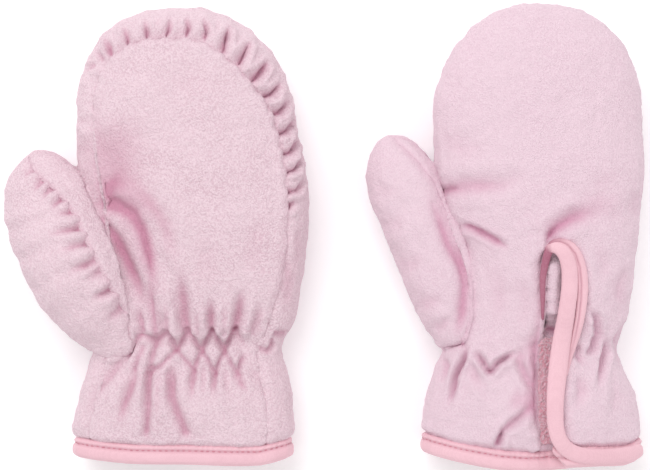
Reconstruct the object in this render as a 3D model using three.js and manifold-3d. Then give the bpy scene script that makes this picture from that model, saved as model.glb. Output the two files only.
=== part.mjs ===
// A pair of baby mittens in fleece, lying side by side on a table: the left-hand one with its palm up,
// the right-hand one with its back up. Each has a palm panel, a back panel that wraps round the fingertips
// and is gathered to the palm, a thumb in two pieces, a wrist drawn in by elastic, and a bound hem.
// The back is slit from the hem, its edges are bound, and a flap closes over an underlap.
//
// Millimetres, +Z up. A mitten is worked out in a frame of its own: x runs across from its centre line,
// negative towards the thumb, y runs from the hem to the fingertips, and z is the height above the table.

import * as THREE from "three";
import { mergeVertices } from "three/addons/utils/BufferGeometryUtils.js";
import Module from "manifold-3d";

const wasm = await Module();
wasm.setup();

// Driving dimensions
const wall = 2.4; // thickness of the fleece
const seamGap = 0.3; // between two pieces at a seam
const hemTape = { width: 6, proud: 0.5 }; // the bound hem, and how far it stands out of the fleece
const pairSpacing = 105; // between the centre lines of the two mittens
const pairCentre = { x: 11.2, y: -67 }; // of the two hems, from the middle of the pair
const gatherPitch = 5.9; // along the seam, from one gather to the next
const gatherHeight = 1.8; // of a puff between two gathers
const pleatRelief = 0.6; // how far the inside of the wrist sinks under its pleats
const elasticRows = { lower: 26.5, upper: 35 }; // where the two rows of elastic are sewn, above the hem
const underlapDepth = wall + 0.35; // of the fleece under the flap, below the body's outer face
const tapePatch = { thick: 0.8, low: 8, high: 37, loopFrom: 1.7, loopTo: 11.7, hookFrom: 9.4, hookTo: 17.4 };

// The left-hand mitten, palm up. One row for each section across the hand, from the hem upwards.
const palmUp = {
  name: "left",
  palmSide: 1,
  lifted: false,
  roundTop: 2.6,
  roundBottom: 3,
  sections: [
    { along: 0, thumbEdge: -32.7, outerEdge: 30.9, edge: 10, top: 19.5 },
    { along: 8.4, thumbEdge: -34.2, outerEdge: 32.4, edge: 10, top: 21 },
    { along: 18, thumbEdge: -32.4, outerEdge: 32.1, edge: 10, top: 21.5 },
    { along: 25.8, thumbEdge: -30, outerEdge: 30.3, edge: 9.5, top: 20 },
    { along: 33, thumbEdge: -27.9, outerEdge: 28.6, edge: 9.5, top: 19 },
    { along: 39.9, thumbEdge: -28.3, outerEdge: 32.2, edge: 10.5, top: 21 },
    { along: 48.9, thumbEdge: -28.4, outerEdge: 34.2, edge: 11.5, top: 23.5 },
    { along: 58.8, thumbEdge: -28.6, outerEdge: 36, edge: 12, top: 25 },
    { along: 69, thumbEdge: -29.4, outerEdge: 36.9, edge: 12, top: 26 },
    { along: 78.9, thumbEdge: -31, outerEdge: 37.2, edge: 12, top: 26.5 },
    { along: 89.4, thumbEdge: -32.6, outerEdge: 35.6, edge: 12, top: 26.5 },
    { along: 99, thumbEdge: -33, outerEdge: 33, edge: 12, top: 26 },
  ],
  fingertips: { reach: 36.3, thumbRound: 2.6, outerRound: 2.05 },
  // Where the palm panel is sewn to the back, as a share of the way from the middle to the edge.
  seam: [
    { fromTip: -153, share: 0.82 },
    { fromTip: -120, share: 0.8 },
    { fromTip: -54, share: 0.835 },
    { fromTip: -38, share: 0.83 },
    { fromTip: -24, share: 0.79 },
    { fromTip: -10, share: 0.745 },
    { fromTip: 4, share: 0.71 },
    { fromTip: 22, share: 0.665 },
    { fromTip: 38, share: 0.7 },
    { fromTip: 54, share: 0.805 },
    { fromTip: 76, share: 0.79 },
    { fromTip: 100, share: 0.785 },
    { fromTip: 116, share: 0.73 },
    { fromTip: 153, share: 0.76 },
  ],
  // How strong the gathers are, by the length of seam from the fingertips, and how far each one leans.
  gathers: [
    { fromTip: -62, amount: 0 },
    { fromTip: -52, amount: 0.35 },
    { fromTip: -30, amount: 0.5 },
    { fromTip: -20, amount: 0.9 },
    { fromTip: 30, amount: 1 },
    { fromTip: 48, amount: 0.85 },
    { fromTip: 62, amount: 0.5 },
    { fromTip: 70, amount: 0 },
  ],
  gatherLean: 3,
  thumb: [
    { x: -17, y: 27, z: 11, half: 6.5, thick: 6.5 },
    { x: -20.2, y: 36, z: 12.5, half: 9, thick: 8.5 },
    { x: -25.6, y: 44.4, z: 15, half: 12.6, thick: 10.5 },
    { x: -31.2, y: 53.7, z: 16.8, half: 14.6, thick: 11.5 },
    { x: -36.2, y: 63.3, z: 16.6, half: 14.8, thick: 11.5 },
    { x: -39.7, y: 72, z: 15, half: 14.2, thick: 11 },
    { x: -42.2, y: 79.8, z: 13.2, half: 12.9, thick: 10.2 },
    { x: -44.5, y: 92.2, z: 10.5, half: 10.6, thick: 8.6 },
  ],
  thumbCap: 0.8,
  // The plan of the seam that splits the thumb, from its tip to its root.
  thumbSeam: [
    { x: -49, y: 97 },
    { x: -47.2, y: 90.6 },
    { x: -44, y: 84.5 },
    { x: -40, y: 81 },
    { x: -36.3, y: 77.6 },
    { x: -32.4, y: 72.4 },
    { x: -30, y: 67 },
    { x: -27, y: 61 },
    { x: -23.2, y: 53.4 },
    { x: -19.2, y: 45.9 },
    { x: -14, y: 36 },
    { x: -9, y: 24 },
  ],
  // Troughs and ridges of the top panel; the height is negative in a trough.
  folds: [
    { fromX: -21, fromY: 74, toX: -13, toY: 40, width: 3.6, height: -2.2 },
    { fromX: -10.5, fromY: 72, toX: -6, toY: 58, width: 3, height: -0.7 },
    { fromX: -8, fromY: 66, toX: -1.5, toY: 40, width: 1.8, height: -1.4 },
    { fromX: -13.5, fromY: 66, toX: -8.5, toY: 42, width: 2.4, height: 0.9 },
    { fromX: -22, fromY: 96, toX: -24, toY: 78, width: 3, height: -0.9 },
  ],
  // Pleats that the two rows of elastic draw up across the palm side of the wrist.
  pleats: { height: 0.9, pitch: 7, lowerPitch: 6.3, upperTrough: 0.5, lowerTrough: 1.8, halfWidth: 23 },
  wrinkles: [
    { y: 79, depth: 0.9, width: 1.6 },
    { y: 72.5, depth: 1, width: 1.6 },
    { y: 65, depth: 1.1, width: 1.8 },
    { y: 57.5, depth: 0.9, width: 2 },
    { y: 48.5, depth: 0.8, width: 2 },
  ],
  thumbSplit: 13,
  hem: [
    { x: -32, drop: -0.5, flapDrop: -0.5 },
    { x: -15, drop: 0.8, flapDrop: 0.8 },
    { x: 0, drop: 0.9, flapDrop: 0.9 },
    { x: 22, drop: 1.5, flapDrop: 1.5 },
    { x: 31, drop: -0.2, flapDrop: -0.2 },
  ],
  underlapHem: 3.8,
};

// The right-hand mitten, back up.
const backUp = {
  name: "right",
  palmSide: -1,
  lifted: true,
  roundTop: 2.35,
  roundBottom: 3,
  sections: [
    { along: 0, thumbEdge: -33, outerEdge: 31.2, edge: 10, top: 20 },
    { along: 8.4, thumbEdge: -34.5, outerEdge: 32.1, edge: 10, top: 22 },
    { along: 18, thumbEdge: -33, outerEdge: 30.3, edge: 10, top: 22.5 },
    { along: 25.8, thumbEdge: -30.6, outerEdge: 27.3, edge: 10, top: 21.5 },
    { along: 33.9, thumbEdge: -27, outerEdge: 24.3, edge: 10.5, top: 21 },
    { along: 40.8, thumbEdge: -22.6, outerEdge: 27.3, edge: 12, top: 22.5 },
    { along: 48.9, thumbEdge: -20.4, outerEdge: 28.5, edge: 13, top: 24 },
    { along: 58.8, thumbEdge: -20.7, outerEdge: 29.7, edge: 13.5, top: 25.5 },
    { along: 66.9, thumbEdge: -23.1, outerEdge: 30.3, edge: 13.5, top: 26.5 },
    { along: 74.4, thumbEdge: -27, outerEdge: 31.2, edge: 13.5, top: 27 },
    { along: 80.4, thumbEdge: -29.1, outerEdge: 31.9, edge: 13.5, top: 27.5 },
    { along: 87.9, thumbEdge: -30.1, outerEdge: 32.4, edge: 13.5, top: 27.5 },
    { along: 97.8, thumbEdge: -31.4, outerEdge: 31.9, edge: 13.5, top: 27 },
  ],
  fingertips: { reach: 38.4, thumbRound: 2.2, outerRound: 2.4 },
  seam: [
    { fromTip: -153, share: 0.8 },
    { fromTip: -54, share: 0.8 },
    { fromTip: -24, share: 0.77 },
    { fromTip: 4, share: 0.73 },
    { fromTip: 30, share: 0.74 },
    { fromTip: 54, share: 0.8 },
    { fromTip: 153, share: 0.78 },
  ],
  gathers: [
    { fromTip: -70, amount: 0 },
    { fromTip: -56, amount: 0.5 },
    { fromTip: -20, amount: 0.8 },
    { fromTip: 30, amount: 0.8 },
    { fromTip: 56, amount: 0.5 },
    { fromTip: 70, amount: 0 },
  ],
  gatherLean: 2,
  thumb: [
    { x: -15, y: 30, z: 9, half: 6.5, thick: 6 },
    { x: -20.8, y: 38, z: 10, half: 9.6, thick: 8.4 },
    { x: -25.4, y: 48.6, z: 10.6, half: 11.6, thick: 9.6 },
    { x: -29.7, y: 60.3, z: 10.8, half: 12.1, thick: 10 },
    { x: -33.9, y: 69.9, z: 10.6, half: 12, thick: 10 },
    { x: -38.2, y: 78.9, z: 10.2, half: 11.6, thick: 9.8 },
    { x: -40.8, y: 84.9, z: 9.8, half: 10.9, thick: 9.4 },
    { x: -44, y: 97, z: 9, half: 9.4, thick: 8.4 },
  ],
  thumbCap: 0.8,
  thumbSeam: [
    { x: -45, y: 102 },
    { x: -41.5, y: 94 },
    { x: -35.5, y: 88 },
    { x: -31, y: 82 },
    { x: -27.5, y: 74 },
    { x: -23.5, y: 63 },
    { x: -19.5, y: 52 },
    { x: -16, y: 42 },
    { x: -12, y: 28 },
  ],
  folds: [
    { fromX: -28, fromY: 80.5, toX: -3, toY: 85, width: 3, height: -0.8 },
    { fromX: -19.5, fromY: 69.5, toX: -8.5, toY: 62.5, width: 1.8, height: -0.7 },
    { fromX: 5, fromY: 69, toX: 20, toY: 76, width: 3.5, height: -0.9 },
    { fromX: -22, fromY: 34, toX: -26, toY: 20, width: 2, height: -1 },
    { fromX: -15, fromY: 29, toX: -5, toY: 33, width: 2, height: -0.9 },
    { fromX: 16, fromY: 36, toX: 20, toY: 24, width: 2, height: -0.8 },
  ],
  pleats: null,
  wrinkles: [
    { y: 84, depth: 0.5, width: 2 },
    { y: 76, depth: 0.5, width: 2 },
    { y: 66, depth: 0.5, width: 2 },
  ],
  thumbSplit: 11,
  hem: [
    { x: -33, drop: -1.5, flapDrop: -1.5 },
    { x: -23, drop: 0.6, flapDrop: 0.6 },
    { x: -12, drop: 2.4, flapDrop: 2.4 },
    { x: -4, drop: 3, flapDrop: 3 },
    { x: 1.2, drop: 3, flapDrop: 2.8 },
    { x: 3.4, drop: 2.9, flapDrop: 1.4 },
    { x: 16, drop: 1.7, flapDrop: 1.2 },
    { x: 26, drop: 1.5, flapDrop: 1.6 },
    { x: 31, drop: 0, flapDrop: 0 },
  ],
  underlapHem: 2.75,
};

// The slit in the back, by height above the hem: the edge of the body on its thumb side, the bound band on
// the flap's edge, and the fleece beyond the bands.
const slit = {
  bodyEdge: 1.2,
  opening: [
    { x: 1.2, y: 55 },
    { x: 0.7, y: 59.2 },
    { x: 1, y: 62.2 },
    { x: 2.6, y: 64.8 },
    { x: 5.2, y: 65.8 },
    { x: 8.5, y: 65.4 },
    { x: 11.1, y: 63.9 },
    { x: 13.2, y: 61 },
    { x: 14.5, y: 57.7 },
    { x: 15.2, y: 53.2 },
    { x: 15.7, y: 48.4 },
    { x: 15.4, y: 43.4 },
    { x: 14.3, y: 38.6 },
    { x: 12.9, y: 33.8 },
    { x: 10.6, y: 28.6 },
    { x: 9.3, y: 22.4 },
    { x: 8.4, y: 15.2 },
    { x: 8, y: 9.6 },
  ],
  // The wide band on the flap's edge, from the top of the slit down to the hem.
  wideBand: [
    { x: 3.8, y: 61.6, width: 1.8 },
    { x: 5.6, y: 62.3, width: 2.8 },
    { x: 7.7, y: 61.6, width: 3.8 },
    { x: 9.3, y: 59.3, width: 4.5 },
    { x: 10.1, y: 55.8, width: 5.1 },
    { x: 10.3, y: 50.7, width: 5.1 },
    { x: 9.9, y: 45.9, width: 5.2 },
    { x: 9.1, y: 40, width: 5.6 },
    { x: 8.1, y: 35, width: 5.7 },
    { x: 6.8, y: 29, width: 5.9 },
    { x: 5.7, y: 22.5, width: 5.8 },
    { x: 5.3, y: 15.3, width: 5.1 },
    { x: 5.2, y: 10, width: 4.6 },
    { x: 5.3, y: 6.4, width: 4.2 },
  ],
  // The narrow band that is folded back round the top of the slit.
  narrowBand: [
    { x: 2.1, y: 55, width: 0.9 },
    { x: 1.7, y: 59.4, width: 1 },
    { x: 2.1, y: 62, width: 1 },
    { x: 3.3, y: 64.2, width: 1.1 },
    { x: 5.4, y: 65, width: 0.9 },
    { x: 8.4, y: 64.6, width: 0.9 },
    { x: 10.7, y: 63, width: 1 },
    { x: 12.5, y: 60.3, width: 1.1 },
    { x: 13.6, y: 57.2, width: 1.3 },
    { x: 14.1, y: 53, width: 1.7 },
    { x: 14.4, y: 48.4, width: 2 },
    { x: 14.1, y: 43.8, width: 2 },
    { x: 13.1, y: 39.2, width: 1.7 },
    { x: 11.8, y: 34.6, width: 1.2 },
  ],
  // How far the flap is lifted over the underlap.
  lift: [
    { along: 0, flap: 2.6 },
    { along: 40, flap: 2.6 },
    { along: 50, flap: 2 },
    { along: 58, flap: 1.4 },
    { along: 66, flap: 0.6 },
    { along: 76, flap: 0 },
  ],
  // The strip of fleece under the flap, from its hem to the top of the slit.
  underlap: [
    { along: 6.3, from: -1.6, to: 14 },
    { along: 36, from: -1.6, to: 16 },
    { along: 41, from: 2.2, to: 17.5 },
    { along: 50, from: 2.6, to: 18.5 },
    { along: 63, from: 3, to: 17 },
  ],
  hemEnd: { underlap: 14, flap: 3.3 },
};

// How the surface is divided
const flatUnder = 3; // how far the round underside would reach below the table, which presses it flat
const quarterOutline = 54; // outline from the tip of the fingers to where the straight side begins
const gatherSteps = 4; // points along the seam for each gather
const upperTurns = [0.32, 0.56, 0.8, 1.02, 1.25, Math.PI / 2];
const lowerTurns = [1.8, 2.08, 2.4];

const { PI, abs, cos, hypot, max, min, pow, sign, sin, sqrt, asin, ceil, exp, floor } = Math;
const clamp = (value, low, high) => min(max(value, low), high);
const mix = (a, b, t) => a + (b - a) * t;
const last = (list) => list[list.length - 1];
const evenly = (count, from, to) => Array.from({ length: count + 1 }, (_, i) => mix(from, to, i / count));

function smoothStep(from, to, value) {
  const t = clamp((value - from) / (to - from), 0, 1);
  return t * t * (3 - 2 * t);
}

// One column of a table at any place between its rows, on a smooth curve through them.
function read(rows, key, column, at) {
  const end = rows.length - 1;
  if (at <= rows[0][key]) return rows[0][column];
  if (at >= rows[end][key]) return rows[end][column];
  let i = 0;
  while (rows[i + 1][key] < at) i += 1;
  const slope = (j) => {
    const [a, b] = [rows[max(j - 1, 0)], rows[min(j + 1, end)]];
    return (b[column] - a[column]) / (b[key] - a[key]);
  };
  const span = rows[i + 1][key] - rows[i][key];
  const t = (at - rows[i][key]) / span;
  const [t2, t3] = [t * t, t * t * t];
  return (
    (2 * t3 - 3 * t2 + 1) * rows[i][column] +
    (t3 - 2 * t2 + t) * span * slope(i) +
    (3 * t2 - 2 * t3) * rows[i + 1][column] +
    (t3 - t2) * span * slope(i + 1)
  );
}

// The rows of a path in plan, with the length up to each one.
function measuredPath(rows) {
  const path = rows.map((row) => ({ ...row, length: 0 }));
  for (let i = 1; i < path.length; i += 1) {
    path[i].length = path[i - 1].length + hypot(path[i].x - path[i - 1].x, path[i].y - path[i - 1].y);
  }
  return path;
}

// The direction to the right of a path in plan, at a length along it.
function rightOf(path, length) {
  const step = 0.4;
  const [before, after] = [length - step, length + step];
  const dx = read(path, "length", "x", after) - read(path, "length", "x", before);
  const dy = read(path, "length", "y", after) - read(path, "length", "y", before);
  const long = hypot(dx, dy);
  return { x: dy / long, y: -dx / long };
}

// A solid from a closed geometry, turned the right way out. Faces that have shrunk to a line are left out.
function closedSolid(geometry) {
  geometry.deleteAttribute("normal");
  geometry.deleteAttribute("uv");
  const merged = mergeVertices(geometry, 1e-4);
  const position = merged.getAttribute("position");
  const corners = [0, 1, 2].map(() => new THREE.Vector3());
  let faces = [];
  let volume = 0;
  for (let i = 0; i < merged.index.count; i += 3) {
    const face = [0, 1, 2].map((k) => merged.index.getX(i + k));
    if (new Set(face).size < 3) continue;
    faces.push(face);
    face.forEach((v, k) => corners[k].fromBufferAttribute(position, v));
    volume += corners[0].dot(corners[1].clone().cross(corners[2]));
  }
  if (volume < 0) faces = faces.map(([a, b, c]) => [a, c, b]);
  const vertProperties = new Float32Array(position.array);
  const triVerts = new Uint32Array(faces.flat());
  return new wasm.Manifold(new wasm.Mesh({ numProp: 3, vertProperties, triVerts }));
}

function solidOf(triangles) {
  const geometry = new THREE.BufferGeometry();
  const numbers = triangles.flatMap((p) => p.toArray());
  geometry.setAttribute("position", new THREE.Float32BufferAttribute(numbers, 3));
  return closedSolid(geometry);
}

// The strip of triangles between two lines of points, each point with its place along the line.
function zip(a, b, triangles) {
  let [i, j] = [0, 0];
  while (i < a.length - 1 || j < b.length - 1) {
    if (i === a.length - 1 || (j < b.length - 1 && b[j + 1].at <= a[i + 1].at)) {
      triangles.push(a[i].p, b[j].p, b[j + 1].p);
      j += 1;
    } else {
      triangles.push(a[i].p, b[j].p, a[i + 1].p);
      i += 1;
    }
  }
}

// A closed solid from rings of equally many points, with a point at the middle of each end.
function tubeOf(rings) {
  const triangles = [];
  const count = rings[0].length;
  for (let i = 0; i < rings.length - 1; i += 1) {
    for (let k = 0; k < count; k += 1) {
      const next = (k + 1) % count;
      const [a, b, c, d] = [rings[i][k], rings[i + 1][k], rings[i + 1][next], rings[i][next]];
      triangles.push(a, b, c, a, c, d);
    }
  }
  [rings[0], last(rings)].forEach((ring, end) => {
    const middle = ring.reduce((sum, p) => sum.add(p), new THREE.Vector3()).divideScalar(count);
    for (let k = 0; k < count; k += 1) {
      const pair = [ring[k], ring[(k + 1) % count]];
      if (end) pair.reverse();
      triangles.push(middle, ...pair);
    }
  });
  return solidOf(triangles);
}

// A closed solid between two faces, each a grid of points given by its column and row, from 0 to 1.
function slabOf(columns, rows, front, back) {
  const triangles = [];
  const quad = (a, b, c, d) => triangles.push(a, b, c, a, c, d);
  const f = (i, j) => front(i / columns, j / rows);
  const g = (i, j) => back(i / columns, j / rows);
  for (let i = 0; i < columns; i += 1) {
    for (let j = 0; j < rows; j += 1) {
      quad(f(i, j), f(i + 1, j), f(i + 1, j + 1), f(i, j + 1));
      quad(g(i, j), g(i, j + 1), g(i + 1, j + 1), g(i + 1, j));
    }
    quad(f(i + 1, 0), f(i, 0), g(i, 0), g(i + 1, 0));
    quad(f(i, rows), f(i + 1, rows), g(i + 1, rows), g(i, rows));
  }
  for (let j = 0; j < rows; j += 1) {
    quad(f(0, j), f(0, j + 1), g(0, j + 1), g(0, j));
    quad(f(columns, j + 1), f(columns, j), g(columns, j), g(columns, j + 1));
  }
  return solidOf(triangles);
}

// An upright solid over an outline in plan.
function columnOf(outline, low, high) {
  const shape = new THREE.Shape(outline.map((p) => new THREE.Vector2(p.x, p.y)));
  const geometry = new THREE.ExtrudeGeometry(shape, { depth: high - low, bevelEnabled: false });
  return closedSolid(geometry.translate(0, 0, low));
}

// The hem hangs lower in the middle, and the flap's end of it less than the layer under it.
function place(mitten, x, y, z, under = false) {
  const upper = under ? 0 : smoothStep(6, 14, z);
  const drop = mix(read(mitten.hem, "x", "drop", x), read(mitten.hem, "x", "flapDrop", x), upper);
  return new THREE.Vector3(x, y - drop * (1 - smoothStep(4, 42, y)), z);
}

// The hand of a mitten, without its thumb: the outside where the inset is 0, or its hollow.
function handOf(mitten, inset) {
  const first = last(mitten.sections);
  const { reach, thumbRound, outerRound } = mitten.fingertips;
  const column = (name, y) => read(mitten.sections, "along", name, min(y, first.along));

  function section(y) {
    const [thumbEdge, outerEdge] = [column("thumbEdge", y), column("outerEdge", y)];
    const middle = (thumbEdge + outerEdge) / 2;
    return { middle, half: outerEdge - middle - inset, edge: column("edge", y), top: column("top", y) - inset };
  }

  // The outline in plan, scaled about its middle by the share.
  function plan(fromTip, share) {
    const past = abs(fromTip) - quarterOutline;
    if (past >= 0) {
      const { middle, half } = section(first.along - past);
      return { x: middle + sign(fromTip) * share * half, y: first.along - past };
    }
    const { middle, half } = section(first.along);
    const power = 2 / (fromTip < 0 ? thumbRound : outerRound);
    const turn = ((PI / 2) * abs(fromTip)) / quarterOutline;
    const across = sign(fromTip) * pow(sin(turn), power) * half;
    const up = pow(cos(turn), power) * (reach - inset);
    return { x: middle + share * across, y: first.along + share * up };
  }

  // The turn is 0 over the middle line, a right angle at the edge, and two below the middle line.
  function point(fromTip, turn) {
    const upper = turn < PI / 2;
    const power = 2 / (upper ? mitten.roundTop : mitten.roundBottom);
    const { x, y } = plan(fromTip, pow(abs(sin(turn)), power));
    const { edge, top } = section(y);
    const rise = pow(abs(cos(turn)), power);
    return new THREE.Vector3(x, y, upper ? mix(edge, top, rise) : max(inset, mix(edge, inset - flatUnder, rise)));
  }

  function outward(fromTip, turn) {
    const [stepAlong, stepTurn] = [0.4, 0.02];
    const a = point(fromTip + stepAlong, turn).sub(point(fromTip - stepAlong, turn));
    const b = point(fromTip, turn + stepTurn).sub(point(fromTip, turn - stepTurn));
    return b.cross(a).normalize();
  }

  // Height of the upper side over a place away from the fingertips.
  function above(x, y) {
    const { middle, half, edge, top } = section(y);
    const share = min(abs(x - middle) / half, 1);
    return mix(edge, top, pow(1 - pow(share, mitten.roundTop), 1 / mitten.roundTop));
  }

  const turnAt = (share, upper) =>
    upper ? asin(pow(share, mitten.roundTop / 2)) : PI - asin(pow(share, mitten.roundBottom / 2));
  return { section, plan, point, outward, above, turnAt, first };
}

// The seam between the palm and the back: its place in plan, and its length from the fingertips.
function seamOf(mitten, hand) {
  const step = 0.5;
  const share = (fromTip) => read(mitten.seam, "fromTip", "share", fromTip);
  const measured = (side) => {
    const rows = [];
    for (let r = 0; r < quarterOutline + hand.first.along; r += step) {
      rows.push({ fromTip: side * r, ...hand.plan(side * r, share(side * r)) });
    }
    return measuredPath(rows);
  };
  const [thumbRows, outerRows] = [measured(-1), measured(1)];
  const rowsOn = (place) => (place < 0 ? thumbRows : outerRows);
  const lengthTo = (fromTip) => {
    const rows = rowsOn(fromTip);
    const i = clamp(floor(abs(fromTip) / step), 0, rows.length - 2);
    return sign(fromTip) * mix(rows[i].length, rows[i + 1].length, abs(fromTip) / step - i);
  };
  const atLength = (length) => {
    const rows = rowsOn(length);
    const i = max(rows.findIndex((row) => row.length > abs(length)), 1);
    const [a, b] = [rows[i - 1], rows[i]];
    return mix(a.fromTip, b.fromTip, (abs(length) - a.length) / (b.length - a.length));
  };
  return { share, lengthTo, atLength };
}

// The outline of the palm panel, moved out by the margin. It runs on past the hem.
function palmOutline(hand, seam, margin) {
  const [spacing, pastHem] = [4, 8];
  const end = quarterOutline + hand.first.along + pastHem;
  return evenly(ceil((2 * end) / spacing), -end, end).map((fromTip) => {
    const here = hand.plan(fromTip, seam.share(fromTip));
    const [middle, edge] = [hand.plan(fromTip, 0), hand.plan(fromTip, 1)];
    const [dx, dy] = [edge.x - middle.x, edge.y - middle.y];
    const long = hypot(dx, dy);
    return { x: here.x + (margin * dx) / long, y: here.y + (margin * dy) / long };
  });
}

// The height of one trough or ridge over a place in plan.
function foldAt(row, x, y) {
  const [dx, dy] = [row.toX - row.fromX, row.toY - row.fromY];
  const length = hypot(dx, dy);
  const t = ((x - row.fromX) * dx + (y - row.fromY) * dy) / (length * length);
  const away = ((x - row.fromX) * dy - (y - row.fromY) * dx) / length;
  const ends = smoothStep(-0.15, 0.25, t) * (1 - smoothStep(0.75, 1.15, t));
  return row.height * ends * exp(-pow(away / row.width, 2));
}

// The pleats across the wrist, which open out above and below the two rows of elastic.
function pleatAt(mitten, x, y) {
  if (!mitten.pleats) return 0;
  const { lower, upper } = elasticRows;
  const { height, pitch, lowerPitch, upperTrough, lowerTrough, halfWidth } = mitten.pleats;
  const wave = (trough, width) => -cos((2 * PI * (x - trough)) / width);
  const [rowWidth, fadeUp, fadeDown, fadeSide] = [1.7, 7, 9, 5];
  const inside = height * (1 - smoothStep(halfWidth - fadeSide, halfWidth, abs(x)));
  const sewn = exp(-pow((y - lower) / rowWidth, 2)) + exp(-pow((y - upper) / rowWidth, 2));
  if (y > upper) return inside * (wave(upperTrough, pitch) * exp(-(y - upper) / fadeUp) - sewn);
  if (y < lower) return inside * (wave(lowerTrough, lowerPitch) * exp((y - lower) / fadeDown) - sewn);
  const swell = sin((PI * (y - lower)) / (upper - lower));
  return inside * (swell * (0.5 - 0.8 * wave(upperTrough, pitch)) - sewn);
}

// How far the flap's side of the back stands up over the underlap.
const flapEdge = slit.opening.slice(9).reverse();
function liftAt(mitten, x, y) {
  if (!mitten.lifted) return 0;
  const edge = read(flapEdge, "y", "x", y);
  const [steep, flat, fade] = [2.4, 3, 19];
  const rise = smoothStep(slit.bodyEdge, slit.bodyEdge + steep, x);
  return read(slit.lift, "along", "flap", y) * rise * (1 - smoothStep(edge + flat, edge + fade, x));
}

// Places along the outline from one end of the hem to the other, closer together where it is fine.
function placesOf(hand, hem, stepSide, tipCount, fine = null) {
  const side = [];
  let y = hand.first.along;
  while (y > hem) {
    const here = fine && y > fine.from && y < fine.to ? fine.step : stepSide;
    y = y - here < hem + here / 2 ? hem : y - here;
    side.push(quarterOutline + hand.first.along - y);
  }
  return [...side.map((r) => -r).reverse(), ...evenly(tipCount, -quarterOutline, quarterOutline), ...side];
}

// A closed balloon from lines that run round the hand, each at its own turn, between the two middle lines.
function balloonOf(mitten, hand, hem, lines, dress) {
  const spine = placesOf(hand, hem, 8, 1);
  const all = [{ places: spine, turn: () => 0 }, ...lines, { places: spine, turn: () => PI }];
  const rows = all.map(({ places, turn }) =>
    places.map((at) => ({ at, p: dress(hand.point(at, turn(at)), at, turn(at)) })),
  );
  const { middle, edge } = hand.section(hem);
  const centre = place(mitten, middle, hem, edge);
  const triangles = [];
  for (let i = 0; i < rows.length - 1; i += 1) {
    zip(rows[i], rows[i + 1], triangles);
    triangles.push(centre, last(rows[i]).p, last(rows[i + 1]).p);
    triangles.push(centre, rows[i + 1][0].p, rows[i][0].p);
  }
  return solidOf(triangles);
}

// The point with its folds and the flap's lift, both on the upper side alone.
function settled(mitten, p, folds) {
  const upper = smoothStep(10, 15, p.z);
  const height = folds.reduce((sum, row) => sum + foldAt(row, p.x, p.y), liftAt(mitten, p.x, p.y));
  return place(mitten, p.x, p.y, p.z + upper * height);
}

// The hollow of the hand, which runs out past the hem and follows only the deepest folds.
function hollowHand(mitten) {
  const hand = handOf(mitten, wall);
  const [hem, shallow] = [-6, 1.2];
  const folds = mitten.folds.filter((row) => abs(row.height) > shallow);
  const places = placesOf(hand, hem, 7, 14);
  const lines = [...upperTurns, ...lowerTurns].map((turn) => ({ places, turn: () => turn }));
  return balloonOf(mitten, hand, hem, lines, (p) => {
    const wrist = mitten.pleats ? smoothStep(14, 22, p.y) * (1 - smoothStep(42, 52, p.y)) : 0;
    const drawn = p.z > hand.first.edge ? pleatRelief * wrist : 0;
    return settled(mitten, new THREE.Vector3(p.x, p.y, p.z - drawn), folds);
  });
}

// The outside with the back's gathers, which are fine from the seam to the edge of the hand.
function gatheredHand(mitten, hand, seam) {
  const upper = mitten.palmSide > 0;
  const step = gatherPitch / gatherSteps;
  const [firstStep, endStep] = [mitten.gathers[0].fromTip / step, last(mitten.gathers).fromTip / step];
  const fine = evenly(ceil(endStep) - floor(firstStep), floor(firstStep) * step, ceil(endStep) * step);
  const gathers = fine.map(seam.atLength);
  const plain = placesOf(hand, 0, 5, 20);
  const apart = 2;
  const places = [
    ...plain.filter((r) => r < gathers[0] - apart),
    ...gathers,
    ...plain.filter((r) => r > last(gathers) + apart),
  ];
  const seamTurn = (at) => hand.turnAt(seam.share(at), upper);
  const [inside, edge] = [-0.25, 1];
  const band = (upper ? [inside, 0, 0.22, 0.5, edge] : [inside, 0, 0.4, edge]).map((share) => ({
    places,
    turn: (at) => mix(seamTurn(at), PI / 2, share),
  }));
  const rest = (upper ? lowerTurns : upperTurns.slice(0, -1)).map((turn) => ({ places: plain, turn: () => turn }));
  const puffed = (p, at, turn) => {
    const fromSeam = clamp((turn - seamTurn(at)) / (PI / 2 - seamTurn(at)), 0, 1);
    const length = seam.lengthTo(at);
    const leaned = length + mitten.gatherLean * fromSeam * sign(at);
    const puff = pow(abs(sin((PI * leaned) / gatherPitch)), 0.7) - 0.45;
    const amount = read(mitten.gathers, "fromTip", "amount", length) * (1 - 0.65 * smoothStep(0.25, 1, fromSeam));
    const moved = p.addScaledVector(hand.outward(at, turn), gatherHeight * amount * puff);
    return place(mitten, moved.x, moved.y, max(moved.z, 0));
  };
  return balloonOf(mitten, hand, 0, upper ? [...band, ...rest] : [...rest, ...band.reverse()], (p, at, turn) => {
    const onRest = upper ? turn > PI / 2 + 0.01 : turn < PI / 2 - 0.01;
    return onRest || turn === 0 || turn === PI ? settled(mitten, p, upper ? [] : mitten.folds) : puffed(p, at, turn);
  });
}

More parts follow.
